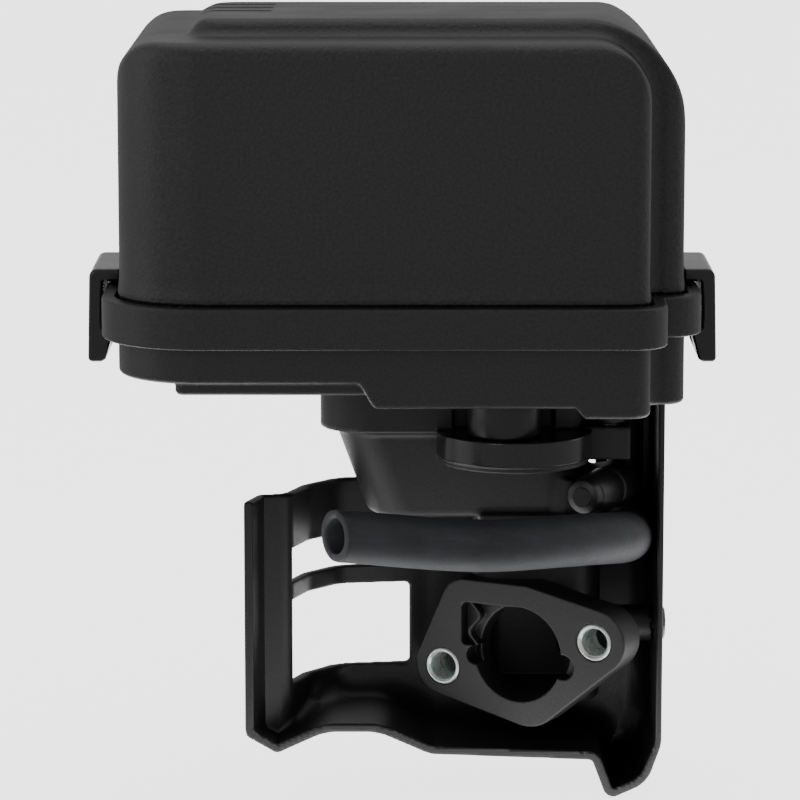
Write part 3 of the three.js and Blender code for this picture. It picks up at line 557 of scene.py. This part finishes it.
SLEEVE_ZINC = zinc("sleeve_zinc", 0.5)
HOSE = hose_rubber()
RUBBER = soft_rubber()
FOAM = foam()
PAPER = paper()


# ---------------------------------------------------------------- hose
def smooth_route(route, times):
    """The route with more points, on a Catmull-Rom curve."""
    p = np.array(route)
    p = np.vstack([2 * p[0] - p[1], p, 2 * p[-1] - p[-2]])
    out = []
    for i in range(1, len(p) - 2):
        for k in range(times):
            t = k / times
            out.append(0.5 * (2 * p[i] + (p[i + 1] - p[i - 1]) * t
                              + (2 * p[i - 1] - 5 * p[i] + 4 * p[i + 1] - p[i + 2]) * t ** 2
                              + (3 * p[i] - p[i - 1] - 3 * p[i + 1] + p[i + 2]) * t ** 3))
    return np.array(out + [p[-2]])


def build_hose():
    """A tube with a bore and softly broken ends; its free end is cut a little askew."""
    path = smooth_route(HOSE_ROUTE, 6) / MM
    along = np.gradient(path, axis=0)
    along /= np.linalg.norm(along, axis=1)[:, None]
    sides = 64
    up = np.array([0, 0, 1.0])
    askew = np.array([0.0, 1.0, 0.1])
    rings = []

    def ring(i, radius, shift=0.0, skew=0.0):
        t = along[i]
        side = np.cross(t, up)
        side /= np.linalg.norm(side)
        top = np.cross(side, t)
        angle = np.linspace(0, 2 * math.pi, sides, endpoint=False)[:, None]
        spoke = side * np.cos(angle) + top * np.sin(angle)
        lean = (spoke @ askew[:, None]) * skew * radius
        rings.append(path[i] + spoke * radius + t * (shift + lean))

    last = len(path) - 1
    edge = 0.35
    lean = 0.4
    blend = 14
    ring(0, HOSE_BORE_R, 0.1)
    ring(0, HOSE_BORE_R + edge)
    ring(0, HOSE_R - edge)
    for i in range(last + 1):
        near_end = max(0.0, (i - last + blend) / blend)
        radius = HOSE_R - (edge * 0.3 if i in (0, last) else 0)
        shift = -2 * edge if i == last else (edge if i == 0 else 0)
        ring(i, radius, shift, lean * near_end ** 2)
    ring(last, HOSE_R - edge * 0.35, -edge, lean)
    ring(last, HOSE_R - edge, -0.6 * edge, lean)
    ring(last, HOSE_BORE_R + edge * 0.6, -0.6 * edge, lean)
    ring(last, HOSE_BORE_R, -edge * 1.4, lean)
    for i in range(last, -1, -1):
        near_end = max(0.0, (i - last + blend) / blend)
        shift = 0.6 if i == 0 else (-1 if i == last else 0)
        ring(i, HOSE_BORE_R, shift, lean * near_end ** 2)
    points = np.concatenate(rings)
    faces = []
    count = len(rings)
    for r in range(count):
        a, b = r * sides, ((r + 1) % count) * sides
        for k in range(sides):
            j = (k + 1) % sides
            faces.append((a + k, b + k, b + j, a + j))
    hose = make("hose", points, faces, HOSE, replaces=("breather_hose",))
    hose.data.set_sharp_from_angle(angle=math.radians(50))


build_hose()

# ---------------------------------------------------------------- cover and case
case_plan = outline([
    (CASE_LEFT, CASE_FRONT, 20), (NOSE_RIGHT, CASE_FRONT, 5), (NOSE_RIGHT, STEP_Y, 3.6),
    (CASE_RIGHT, STEP_Y, 5), (CASE_RIGHT, CASE_BACK, 14), (CASE_LEFT, CASE_BACK, 14),
])
# The well and the deeper part of the case's floor run on past the walls, which cut them off
well_plan = outline([
    (-36, -90, 0), (90, -90, 0), (90, 120, 0), (-52, 120, 0), (-52, -4, 6), (-36, -12, 6),
])
deep_plan = outline([
    (13, -90, 0), (90, -90, 0), (90, 120, 0), (19, 120, 0), (19, -5, 2.5), (13, -5, 2.5),
])
lower_side = outline([
    (CASE_LEFT, 40, 0), (NOSE_RIGHT, 40, 0), (NOSE_RIGHT, COVER_TOP, 15), (CASE_LEFT, COVER_TOP, 11),
])
raised_plan = outline([
    (RAISED_LEFT, STEP_Y, 8), (CASE_RIGHT, STEP_Y, 5), (CASE_RIGHT, CASE_BACK, 14),
    (RAISED_LEFT, CASE_BACK, 10),
])
raised_side = outline([
    (RAISED_LEFT, 40, 0), (CASE_RIGHT, 40, 0), (CASE_RIGHT, RAISED_TOP, 26), (RAISED_LEFT, RAISED_TOP, 4),
])


def cover_body(x, y, z):
    lower = round_max(round_max(case_plan(x, y), z - COVER_TOP, TOP_BEVEL), lower_side(x, z), 1)
    fall = RAISED_SLOPE * np.maximum(y - STEP_Y, 0)
    raised = round_max(round_max(raised_plan(x, y), z + fall - RAISED_TOP, TOP_BEVEL), raised_side(x, z), 1)
    flare = 0.45 * np.clip((97 - z) / 4.5, 0, 1) ** 2 * np.clip((z - 91.2) / 0.5, 0, 1)
    return round_min(lower, raised, 3) - flare


def ease(t):
    t = np.clip(t, 0, 1)
    return t * t * (3 - 2 * t)


def latch_walls():
    return ((-1, CASE_LEFT - BAND_OUT), (1, CASE_RIGHT + BAND_OUT))


def cover_field(x, y, z):
    body = cover_body(x, y, z)
    shell = round_max(body, -(body + WALL), 0.2)
    for slot_y in INLET_SLOTS_Y:
        low = (RAISED_LEFT - 3, slot_y - INLET_SLOT_HALF, COVER_TOP + 0.8)
        hole = box(x, y, z, low, (INLET_SLOT_RIGHT, slot_y + INLET_SLOT_HALF, 160), 1)
        shell = cut(shell, hole, 0.5)
    for side, wall in latch_walls():
        inner = wall - side * (BAND_OUT + 1)
        outer = wall - side * 0.5
        lug = box(x, y, z, (min(inner, outer), LATCH_Y - LUG_HALF, LUG_BOTTOM),
                  (max(inner, outer), LATCH_Y + LUG_HALF, LATCH_TOP - 3.3), 0.5)
        shell = round_min(shell, lug, 0.4)
    return round_max(shell, COVER_BOTTOM - z, 0.3)


def case_field(x, y, z):
    plan, well, deep = case_plan(x, y), well_plan(x, y), deep_plan(x, y)
    bottom = SHALLOW_Z - (SHALLOW_Z - WELL_Z) * ease((2.2 - well) / 4.6)
    bottom = bottom - (WELL_Z - DEEP_Z) * ease((1.2 - deep) / 2.6)
    base = round_max(round_max(plan, bottom - z, 1.2), z - (BAND_TOP - 3))
    ledge = round_max(rectangle(x, y, -80, CASE_FRONT + 2.6, 0, 50, 2), LEDGE_Z - z, 1.1)
    ledge = round_max(ledge, z - SHALLOW_Z - 1)
    band = round_max(round_max(plan - BAND_OUT, z - BAND_TOP, 0.8), BAND_BOTTOM - z, 0.6)
    body = join(0.5, join(0.6, base, ledge), band)
    hollow = np.maximum(plan + WALL, np.minimum(
        SHALLOW_Z + WALL - z, np.minimum(np.maximum(well + WALL, WELL_Z + WALL - z),
                                         np.maximum(deep + WALL, DEEP_Z + WALL - z))))
    hollow = np.minimum(hollow, np.maximum(plan - 2 * GAP, SEAT_Z - z))
    body = cut(body, hollow, 0.3)
    body = cut(body, np.maximum(rectangle(x, y, -38, 3, -8, 28, 6), z - SHALLOW_Z), 0.3)
    for rib in CASE_RIBS_X:
        body = round_min(body, box(x, y, z, (rib, -30, WELL_Z + 1), (rib + 2, 50, 75.4), 0.4), 0.6)
    boss = np.hypot(x - SIDE_BOLT[0], y - SIDE_BOLT[1]) - 7.4
    body = round_min(body, round_max(boss, slab(z, DEEP_Z + 1, WELL_Z + WALL), 0.3), 0.5)
    for side, wall in latch_walls():
        out = side * (x - wall)
        ear = round_max(ear_side(out, z), np.abs(y - LATCH_Y) - EAR_WIDTH / 2, 0.4)
        body = round_min(body, ear, 0.4)
        pin = np.hypot(out - PIVOT_OUT, z - PIVOT_Z) - PIN_R - GAP
        body = cut(body, np.maximum(pin, np.abs(y - LATCH_Y) - EAR_WIDTH))
        notch = np.maximum(np.abs(out) - 4.5, np.abs(y - LATCH_Y) - LUG_HALF - GAP)
        body = cut(body, np.maximum(notch, LUG_BOTTOM - GAP - z), 0.3)
    for bx, by in (FRONT_BOLT, SIDE_BOLT):
        body = cut(body, np.maximum(np.hypot(x - bx, y - by) - BOLT_R - GAP, z - WELL_Z - WALL - 6), 0.3)
    return cut(body, np.maximum(np.hypot(x - PORT[0], y - PORT[1]) - PORT_STEM_R - GAP, z - 72), 0.3)


ear_side = outline([
    (PIVOT_OUT - 2, PIVOT_Z - 2.1, 1.6), (PIVOT_OUT + 2.1, PIVOT_Z - 2.1, 1.9),
    (PIVOT_OUT + 2.1, PIVOT_Z + 1.6, 1.9), (-0.6, BAND_BOTTOM + 0.6, 0.1), (-2.8, BAND_BOTTOM + 0.6, 0.1),
])

mould("cover_shell", cover_field, (
    lines(-99, 44, 4, (-99, -57, 1.0), (-99, -83, 0.75), (8, 30.5, 0.8), (30.5, 44, 0.75)),
    lines(-42, 62, 4, (-42, -30, 0.8), (-30, -12, 0.8), (0, 16, 1.0), (8, 45, 1), (44, 62, 0.9)),
    lines(84.5, 157, 5, (84.5, 98, 0.6), (122, 140, 1.5), (138, 157, 0.45)),
), COVER_BLACK, replaces=("cover",))

mould("filter_case", case_field, (
    lines(-103, 47, 3.5, (-103, -72, 0.8), (-56, -30, 1), (-12, 8, 0.8), (8, 30, 0.9), (24, 47, 0.75)),
    lines(-45, 65, 3.5, (-45, -28, 0.8), (-28, -3, 1.0), (-3, 29, 1.0), (46, 65, 1)),
    lines(63.5, 92.5, 1.2, (63.5, 76, 0.6), (76, 80.5, 0.9), (79.5, 92.5, 0.55)),
), CASE_BLACK, replaces=("case",))


# ---------------------------------------------------------------- clips
def build_clip(name, side, wall):
    tip = side * ((CASE_LEFT if side < 0 else CASE_RIGHT) + side * GAP - wall)
    profile = outline([
        (tip, 92, 0.4), (0.6, 92, 0.5), (0.9, BAND_BOTTOM - GAP, 0.4), (-1.6, BAND_BOTTOM - 1.6, 0.5),
        (0.2, LATCH_BOTTOM + 0.6, 0.6), (1.2, LATCH_BOTTOM, 0.4), (LATCH_OUT, LATCH_BOTTOM, 1),
        (LATCH_OUT - 0.5, LATCH_TOP, 2), (tip, LATCH_TOP, 0.6),
    ])

    def field(x, y, z):
        out = side * (x - wall)
        across = np.abs(y - LATCH_Y)
        body = round_max(profile(out, z), across - LATCH_WIDTH / 2, 0.7)
        for k in range(-GRIP_GROOVES, GRIP_GROOVES + 1):
            if abs(k) <= GRIP_PLAIN:
                continue
            groove = np.maximum(np.abs(y - LATCH_Y - k * GRIP_PITCH) - 0.4, z - GRIP_TOP)
            depth = np.abs(out - 0.35 - (GRIP_TOP - z) * 0.12) - 0.7
            body = cut(body, np.maximum(groove, depth), 0.15)
        half = EAR_WIDTH / 2 + GAP
        slot = box(out, y - LATCH_Y, z, (-5, -half, PIVOT_Z - 3), (9, half, PIVOT_Z + 6.5), 0.6)
        body = cut(body, slot, 0.4)
        panel = box(out, y - LATCH_Y, z, (LATCH_OUT - 0.85, -11, 85.6), (9, 11, 92), 0.8)
        body = cut(body, panel, 0.3)
        pin = np.hypot(out - PIVOT_OUT, z - PIVOT_Z) - PIN_R - GAP
        return cut(body, np.maximum(pin, LATCH_Y - PIN_FRONT - GAP - y))

    low, high = sorted((wall - side * 4.7, wall + side * 5.2))
    mould(f"{name}_body", field, (
        lines(low, high, 0.42), lines(-8.5, 24.5, 0.5), lines(71.5, 96.5, 0.45),
    ), CLIP_BLACK, name, (name,))


for clip, (side, wall) in zip(("clip_left", "clip_right"), latch_walls()):
    build_clip(clip, side, wall)


# ---------------------------------------------------------------- elbow
flange_plan = belt([
    (-STUD_S, -STUD_W, 7.2), (2.5, -8.5, 9.2), (STUD_S, STUD_W, 8.1), (1.5, 9.2, 8), (-14.5, 11.2, 6),
])
COS_T, SIN_T = math.cos(FLANGE_TURN), math.sin(FLANGE_TURN)


def flange_axes(x, y):
    """Across the face, and depth behind it."""
    return x * COS_T - y * SIN_T, x * SIN_T + y * COS_T


def on_plug_axis(distance):
    return (PLUG_FRONT[0] + distance * SIN_T, PLUG_FRONT[1] + distance * COS_T, PLUG_FRONT[2])


def funnel(x, y, z, inset):
    t = np.clip((z - FUNNEL_BOTTOM) / (FUNNEL_SHOULDER + 1 - FUNNEL_BOTTOM), -0.1, 1.05)
    x0, y0, x1, y1 = (a + (b - a) * t for a, b in zip(FUNNEL_FOOT, FUNNEL_MOUTH))
    return rectangle(x, y, x0 + inset, y0 + inset, x1 - inset, y1 - inset, FUNNEL_CORNER - inset)


def duct(x, y, inset):
    w, d = DUCT_WIDE / 2 - inset, DUCT_DEEP / 2 - inset
    return rectangle(x, y, DUCT_X - w, DUCT_Y - d, DUCT_X + w, DUCT_Y + d, 8 - inset)


def ear_field(x, y, z):
    """The ear with its polished rim and the paler lip under it."""
    out = np.hypot(x - EAR_X, y - EAR_Y)
    rim = round_max(out - EAR_R, slab(z, EAR_BOTTOM + 1.3, EAR_TOP), 0.45)
    lip = round_max(out - EAR_R + 0.6, slab(z, EAR_BOTTOM, EAR_BOTTOM + 2), 0.6)
    ear = round_min(rim, lip, 0.25)
    ear = np.maximum(ear, y + 0.5)
    fx, fy = FRONT_BOLT
    return cut(ear, np.maximum(np.hypot(x - fx, y - fy) - BOLT_R - GAP, EAR_BOTTOM + 1 - z), 0.3)


def flange_field(s, depth, z):
    """The carburettor flange in its own axes: across, depth behind the face, and up."""
    plan = flange_plan(s, z)
    plate = round_max(plan, slab(depth, 0, FLANGE_THICK), 0.45)
    body = cut(plate, np.maximum(np.hypot(s, z) - BORE_R, slab(depth, -5, 20)), 0.35)
    body = cut(body, np.maximum(pocket_plan(s, z), slab(depth, -5, 3.5)), 0.3)
    wave = np.abs(s + 12.2 + 1.3 * np.sin((z - 2) * 0.75)) - 0.45
    bridge = round_max(np.maximum(wave, slab(z, 0.8, 11.6)), slab(depth, 0.9, 5), 0.15)
    body = round_min(body, bridge, 0.2)
    body = cut(body, np.maximum(np.hypot(s - 12, z + 1.9) - 3, slab(depth, -5, 5)), 0.3)
    body = cut(body, np.maximum(np.hypot(s + 11.6, z + 1.4) - 2.2, slab(depth, -5, 5)), 0.3)
    for k in (-1, 1):
        hole = np.hypot(s - k * STUD_S, z - k * STUD_W) - SLEEVE_R - 0.1
        body = cut(body, np.maximum(hole, slab(depth, -5, FLANGE_THICK + 5)), 0.12)
    return body


def elbow_field(x, y, z):
    s, depth = flange_axes(x, y)
    collar = round_max(rectangle(x, y, -47.5, -1.5, 19, 31, 12), slab(z, FUNNEL_SHOULDER, FUNNEL_TOP), 0.6)
    cone = round_max(funnel(x, y, z, 0), slab(z, FUNNEL_BOTTOM, FUNNEL_SHOULDER + 1), 1.5)
    column = round_max(duct(x, y, 0), slab(z, DUCT_BOTTOM, FUNNEL_BOTTOM + 4), 2)
    neck = round_max(np.hypot(s, z) - NECK_R, slab(depth, FLANGE_THICK - 2, NECK_DEPTH), 0.5)
    web = np.maximum(np.hypot(x - EAR_X, y - EAR_Y) - EAR_R + 1.2, slab(z, EAR_BOTTOM + 1.6, EAR_TOP - 0.6))
    web = np.maximum(web, y - 14)
    block = box(x, y, z, (15, -1, EAR_BOTTOM), (27, 11, BLOCK_TOP), 0.6)
    seat, root = on_plug_axis(PLUG_LENGTH), on_plug_axis(PLUG_LENGTH + 8)
    arm = rod(x, y, z, seat, root, 5.2, 5.2, 0.5)
    arm = round_min(arm, rod(x, y, z, root, (DUCT_X, DUCT_Y, FUNNEL_BOTTOM + 2), 5.2, 7.5), 2)
    shelf = box(x, y, z, (-9, 1.2, 30.2), (12.5, 9, 34.2), 0.8)
    brace = rod(x, y, z, (10.6, 5.5, 32.5), (12.2, 4.2, 43), 3.2, 2.6, 0.6)
    body = join(1.2, join(1.6, collar, cone), column)
    body = join(1.6, body, neck, join(1.0, web, block), arm, join(1.2, shelf, brace))
    for bx, bz in BACK_SCREWS:
        boss = rod(x, y, z, (bx, 26, bz), (bx, 30.9, bz), SCREW_BOSS_R, SCREW_BOSS_R, 0.3)
        body = round_min(body, boss, 0.8)
    side_end = (SHIELD_RIGHT - SHIELD_SIDE_THICK - GAP, SHIELD_SCREW_Y, SHIELD_SCREW_Z)
    side_root = (DUCT_X + 14, SHIELD_SCREW_Y, SHIELD_SCREW_Z)
    side = rod(x, y, z, side_root, side_end, SCREW_BOSS_R, SCREW_BOSS_R, 0.3)
    body = round_min(body, side, 0.8)
    # Hollows
    duct_in = np.maximum(duct(x, y, WALL + 0.3), slab(z, DUCT_BOTTOM + WALL, FUNNEL_BOTTOM + 4))
    cone_in = np.maximum(funnel(x, y, z, WALL), slab(z, FUNNEL_BOTTOM + WALL, FUNNEL_TOP + 5))
    body = cut(body, join(1, duct_in, cone_in), 0.4)
    body = cut(body, np.maximum(np.hypot(s, z) - BORE_R, slab(depth, -5, NECK_DEPTH)), 0.35)
    for bx, by in (FRONT_BOLT, SIDE_BOLT):
        body = cut(body, np.maximum(np.hypot(x - bx, y - by) - BOLT_R - GAP, EAR_BOTTOM + 1 - z), 0.3)
    for bx, bz in BACK_SCREWS:
        body = cut(body, np.maximum(np.hypot(x - bx, z - bz) - SCREW_R - GAP, 20 - y), 0.2)
    hole = np.hypot(y - SHIELD_SCREW_Y, z - SHIELD_SCREW_Z) - SCREW_R - GAP
    body = cut(body, np.maximum(hole, DUCT_X + 14 - x), 0.2)
    body = cut(body, rod(x, y, z, PLUG_FRONT, on_plug_axis(PLUG_LENGTH + 5), 3.3))
    fx, fy = FRONT_BOLT
    body = cut(body, box(x, y, z, (fx - 12, fy - 12, EAR_TOP), (fx + 12, fy + 10.5, 75)), 0.3)
    sx, sy = SIDE_BOLT
    return cut(body, np.maximum(np.hypot(x - sx, y - sy) - SIDE_COLLAR_R - GAP, BLOCK_TOP - z), 0.3)


pocket_plan = outline([(-15.2, 1, 1.2), (0, 1, 0.1), (0, 11.4, 0.1), (-15.2, 11.4, 1.4)])

mould("elbow_body", elbow_field, (
    lines(-49, 35, 0.8), lines(-23, 33, 0.8), lines(-17, 66.5, 0.8),
), ELBOW_BLACK, replaces=("elbow",))
mould("elbow_flange", flange_field, (
    lines(-29, 30, 0.36), lines(-0.8, 9.8, 0.36), lines(-19, 19, 0.36),
), FLANGE_BLACK, replaces=("elbow",), reach=0.3, turn=FLANGE_TURN)
mould("elbow_ear", ear_field, (
    lines(-21, 19, 0.4), lines(-21, 0.5, 0.4), lines(47, 56.5, 0.36),
), EAR_GLOSS, replaces=("elbow",), reach=0.3)

turned("plug", [
    (0, -0.35), (2.3, -0.35), (2.45, -0.1), (3.2, 0.05), (3.9, 0.35), (4.15, 0.9), (4.15, 2.4), (4.35, 2.8),
    (4.55, 3.0), (4.75, 4.2), (5.0, 9), (5.1, 12.4), (4.9, 13.0), (3, 13.1), (3, 17.9), (0, 17.9),
], PLUG_FRONT, (SIN_T, COS_T, 0), PLUG_BLACK, ("elbow_plug",))

for sleeve, k in (("left", -1), ("right", 1)):
    at = (k * STUD_S * COS_T, -k * STUD_S * SIN_T, k * STUD_W)
    ring = [
        (SLEEVE_BORE_R, 0.5), (SLEEVE_BORE_R + 0.35, 0.02), (SLEEVE_BORE_R + 0.5, -0.1),
        (SLEEVE_R - 0.3, -0.1), (SLEEVE_R, 0.2), (SLEEVE_R, 8.7), (SLEEVE_R - 0.3, 9),
        (SLEEVE_BORE_R + 0.3, 9), (SLEEVE_BORE_R, 8.7),
    ]
    turned(f"sleeve_{sleeve}", ring + ring[:1], at, (SIN_T, COS_T, 0), SLEEVE_ZINC,
           (f"stud_sleeve_{sleeve}",))

for collar, (cx, cy), radius, base, top in (
    ("front", FRONT_BOLT, FRONT_COLLAR_R, EAR_TOP + GAP, WELL_Z - GAP),
    ("side", SIDE_BOLT, SIDE_COLLAR_R, BLOCK_TOP + GAP, DEEP_Z - GAP),
):
    ring = [
        (BOLT_R + GAP, base), (radius - 0.7, base), (radius - 0.2, base + 0.2), (radius, base + 0.7),
        (radius, top - 0.7), (radius - 0.2, top - 0.2), (radius - 0.5, top), (BOLT_R + GAP, top),
    ]
    turned(f"collar_{collar}", ring + ring[:1], (cx, cy, 0), (0, 0, 1), COLLAR_BLACK,
           (f"spacer_collar_{collar}",))


# ---------------------------------------------------------------- shield
SHIELD_OPEN = SHIELD_SIDE_TOP + 9


def shield_outlines(right):
    """Plan and front outlines; the plan runs on to the right, where the front outline makes the wall."""
    plan = outline([
        (SHIELD_LEFT, -30, 0), (right + 40, -30, 0), (right + 40, SHIELD_BACK, 0), (-22, SHIELD_BACK, 20),
        (-44, 30.2, 10), (-52.5, 20.5, 10), (-56.6, 9.8, 3), (-62.8, 8.2, 2), (SHIELD_LEFT, -2, 0),
    ])
    side = outline([
        (SHIELD_LEFT, -19.5, 3), (-58.1, -24.2, 1.5), (-46.5, -18.9, 14), (-33.6, -18.9, 14),
        (-21, -24.4, 8),
        (18.2, -25.8, 1.5), (22, -35.9, 2.5), (31.6, -31.6, 8), (right, -22, 8),
        (right, SHIELD_OPEN, 0), (SHIELD_LEFT, SHIELD_OPEN, 0),
    ])
    return plan, side


shield_outer = shield_outlines(SHIELD_RIGHT)
shield_inner = shield_outlines(SHIELD_RIGHT + SHIELD_THICK - SHIELD_SIDE_THICK)
SHIELD_WINDOWS = ((-9.2, 11.2), (15.8, 24))
WINDOW_LEFT, WINDOW_RIGHT = -56.2, -26


def shield_field(x, y, z):
    # The corner between the back and the floor has a broad fillet, which fades out at the left wing.
    fade = np.clip((x + 58) / 10, 0, 1)
    outer = round_max(shield_outer[0](x, y), shield_outer[1](x, z), 1 + 7 * fade)
    plan, side = shield_inner
    inner = round_max(plan(x, y) + SHIELD_THICK, side(x, z) + SHIELD_THICK, 1 + 5 * fade)
    tray = cut(round_max(outer, SHIELD_FRONT - y), inner)
    tray = round_max(tray, SHIELD_FRONT - y, 0.6)
    tray = round_max(tray, z - SHIELD_SIDE_TOP, 0.5)
    tray = cut(tray, np.maximum(x - SHIELD_STEP_X, SHIELD_TOP - z), 0.7)
    for low, high in SHIELD_WINDOWS:
        hole = np.maximum(rectangle(x, z, WINDOW_LEFT, low, WINDOW_RIGHT, high, 1.2), 10 - y)
        tray = cut(tray, hole, 0.6)
    for bx, bz in BACK_SCREWS:
        tray = cut(tray, np.maximum(np.hypot(x - bx, z - bz) - SCREW_R - GAP, 25 - y), 0.2)
    hole = np.hypot(y - SHIELD_SCREW_Y, z - SHIELD_SCREW_Z) - SCREW_R - GAP
    return cut(tray, np.maximum(hole, 30 - x), 0.2)


mould("shield_tray", shield_field, (
    lines(-68, 37, 1.0, (-68, -20, 0.7), (16, 37, 0.6)), lines(-4, 35.5, 0.9, (-4, 2, 0.5), (24, 35.5, 0.7)),
    lines(-37.5, 64, 1.0, (-37.5, -14, 0.65), (-10, 30, 0.8), (33, 40, 0.7), (40, 64, 0.9)),
), SHIELD_BLACK, replaces=("shield",))

# ---------------------------------------------------------------- CAD nodes that stay, with finishes
CAD_FINISHES = (
    (ZINC, ("clip_pin_left", "clip_pin_right", "elbow_bolt_front", "elbow_bolt_side")),
    (ZINC, ("shield_screw_back_1", "shield_screw_back_2")),
    (COLLAR_BLACK, ("shield_screw_side",)),
    (RUBBER, ("cover_seal", "elbow_seal", "element_base_seal", "element_top_cap")),
    (FOAM, ("foam_sleeve",)),
    (PAPER, ("paper_element",)),
    (PORT_BLACK, ("breather_port",)),
)
for finish, names in CAD_FINISHES:
    for node in names:
        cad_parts[node].data.materials.clear()
        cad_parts[node].data.materials.append(finish)


# ---------------------------------------------------------------- floor and light
def area(name, at, to, width, height, power):
    lamp = bpy.data.objects.new(name, bpy.data.lights.new(name, "AREA"))
    bpy.context.scene.collection.objects.link(lamp)
    lamp.data.shape = "RECTANGLE"
    lamp.data.size, lamp.data.size_y, lamp.data.energy = width, height, power
    lamp.location = at
    lamp.rotation_euler = (Vector(to) - Vector(at)).to_track_quat("-Z", "Y").to_euler()


FLOOR_DROP = 0.0002
FLOOR_Z = float(CAD_BOX[0].z) - FLOOR_DROP
floor_mesh = bpy.data.meshes.new("floor")
floor_corners = [(-0.17, -0.06), (0.15, -0.06), (0.6, 4), (-0.6, 4)]
floor_mesh.from_pydata([(x, y, FLOOR_Z) for x, y in floor_corners], [], [(0, 1, 2, 3)])
floor = bpy.data.objects.new("floor", floor_mesh)
bpy.context.scene.collection.objects.link(floor)
pale = Nodes("floor_pale")
floor_mesh.materials.append(pale.finish(
    Base_Color=(0.86, 0.86, 0.86, 1), Roughness=0.9, Emission_Color=(1, 1, 1, 1), Emission_Strength=2.6,
))

MIDDLE = (-0.03, 0.0, 0.06)
area("softbox_left", (-0.75, -0.12, 0.30), MIDDLE, 0.5, 0.9, 0.9)
area("softbox_right", (0.75, 0.16, 0.40), MIDDLE, 0.3, 0.9, 0.6)
area("softbox_top", (-0.03, 0.15, 0.95), MIDDLE, 0.9, 0.9, 1.8)
area("front_fill", (-0.55, -1.0, 0.35), MIDDLE, 0.35, 0.35, 0.6)

# The world lights the object softly, and the camera sees it as a bright backdrop
ROOM_LIGHT, BACKDROP_LIGHT = 0.5, 3.0
world = bpy.data.worlds.new("studio")
bpy.context.scene.world = world
world.use_nodes = True
tree = world.node_tree
back = tree.nodes["Background"]
back.inputs["Color"].default_value = (1, 1, 1, 1)
light_path = tree.nodes.new("ShaderNodeLightPath")
seen = tree.nodes.new("ShaderNodeMix")
tree.links.new(light_path.outputs["Is Camera Ray"], seen.inputs[0])
seen.inputs[2].default_value = ROOM_LIGHT
seen.inputs[3].default_value = BACKDROP_LIGHT
tree.links.new(seen.outputs[0], back.inputs["Strength"])
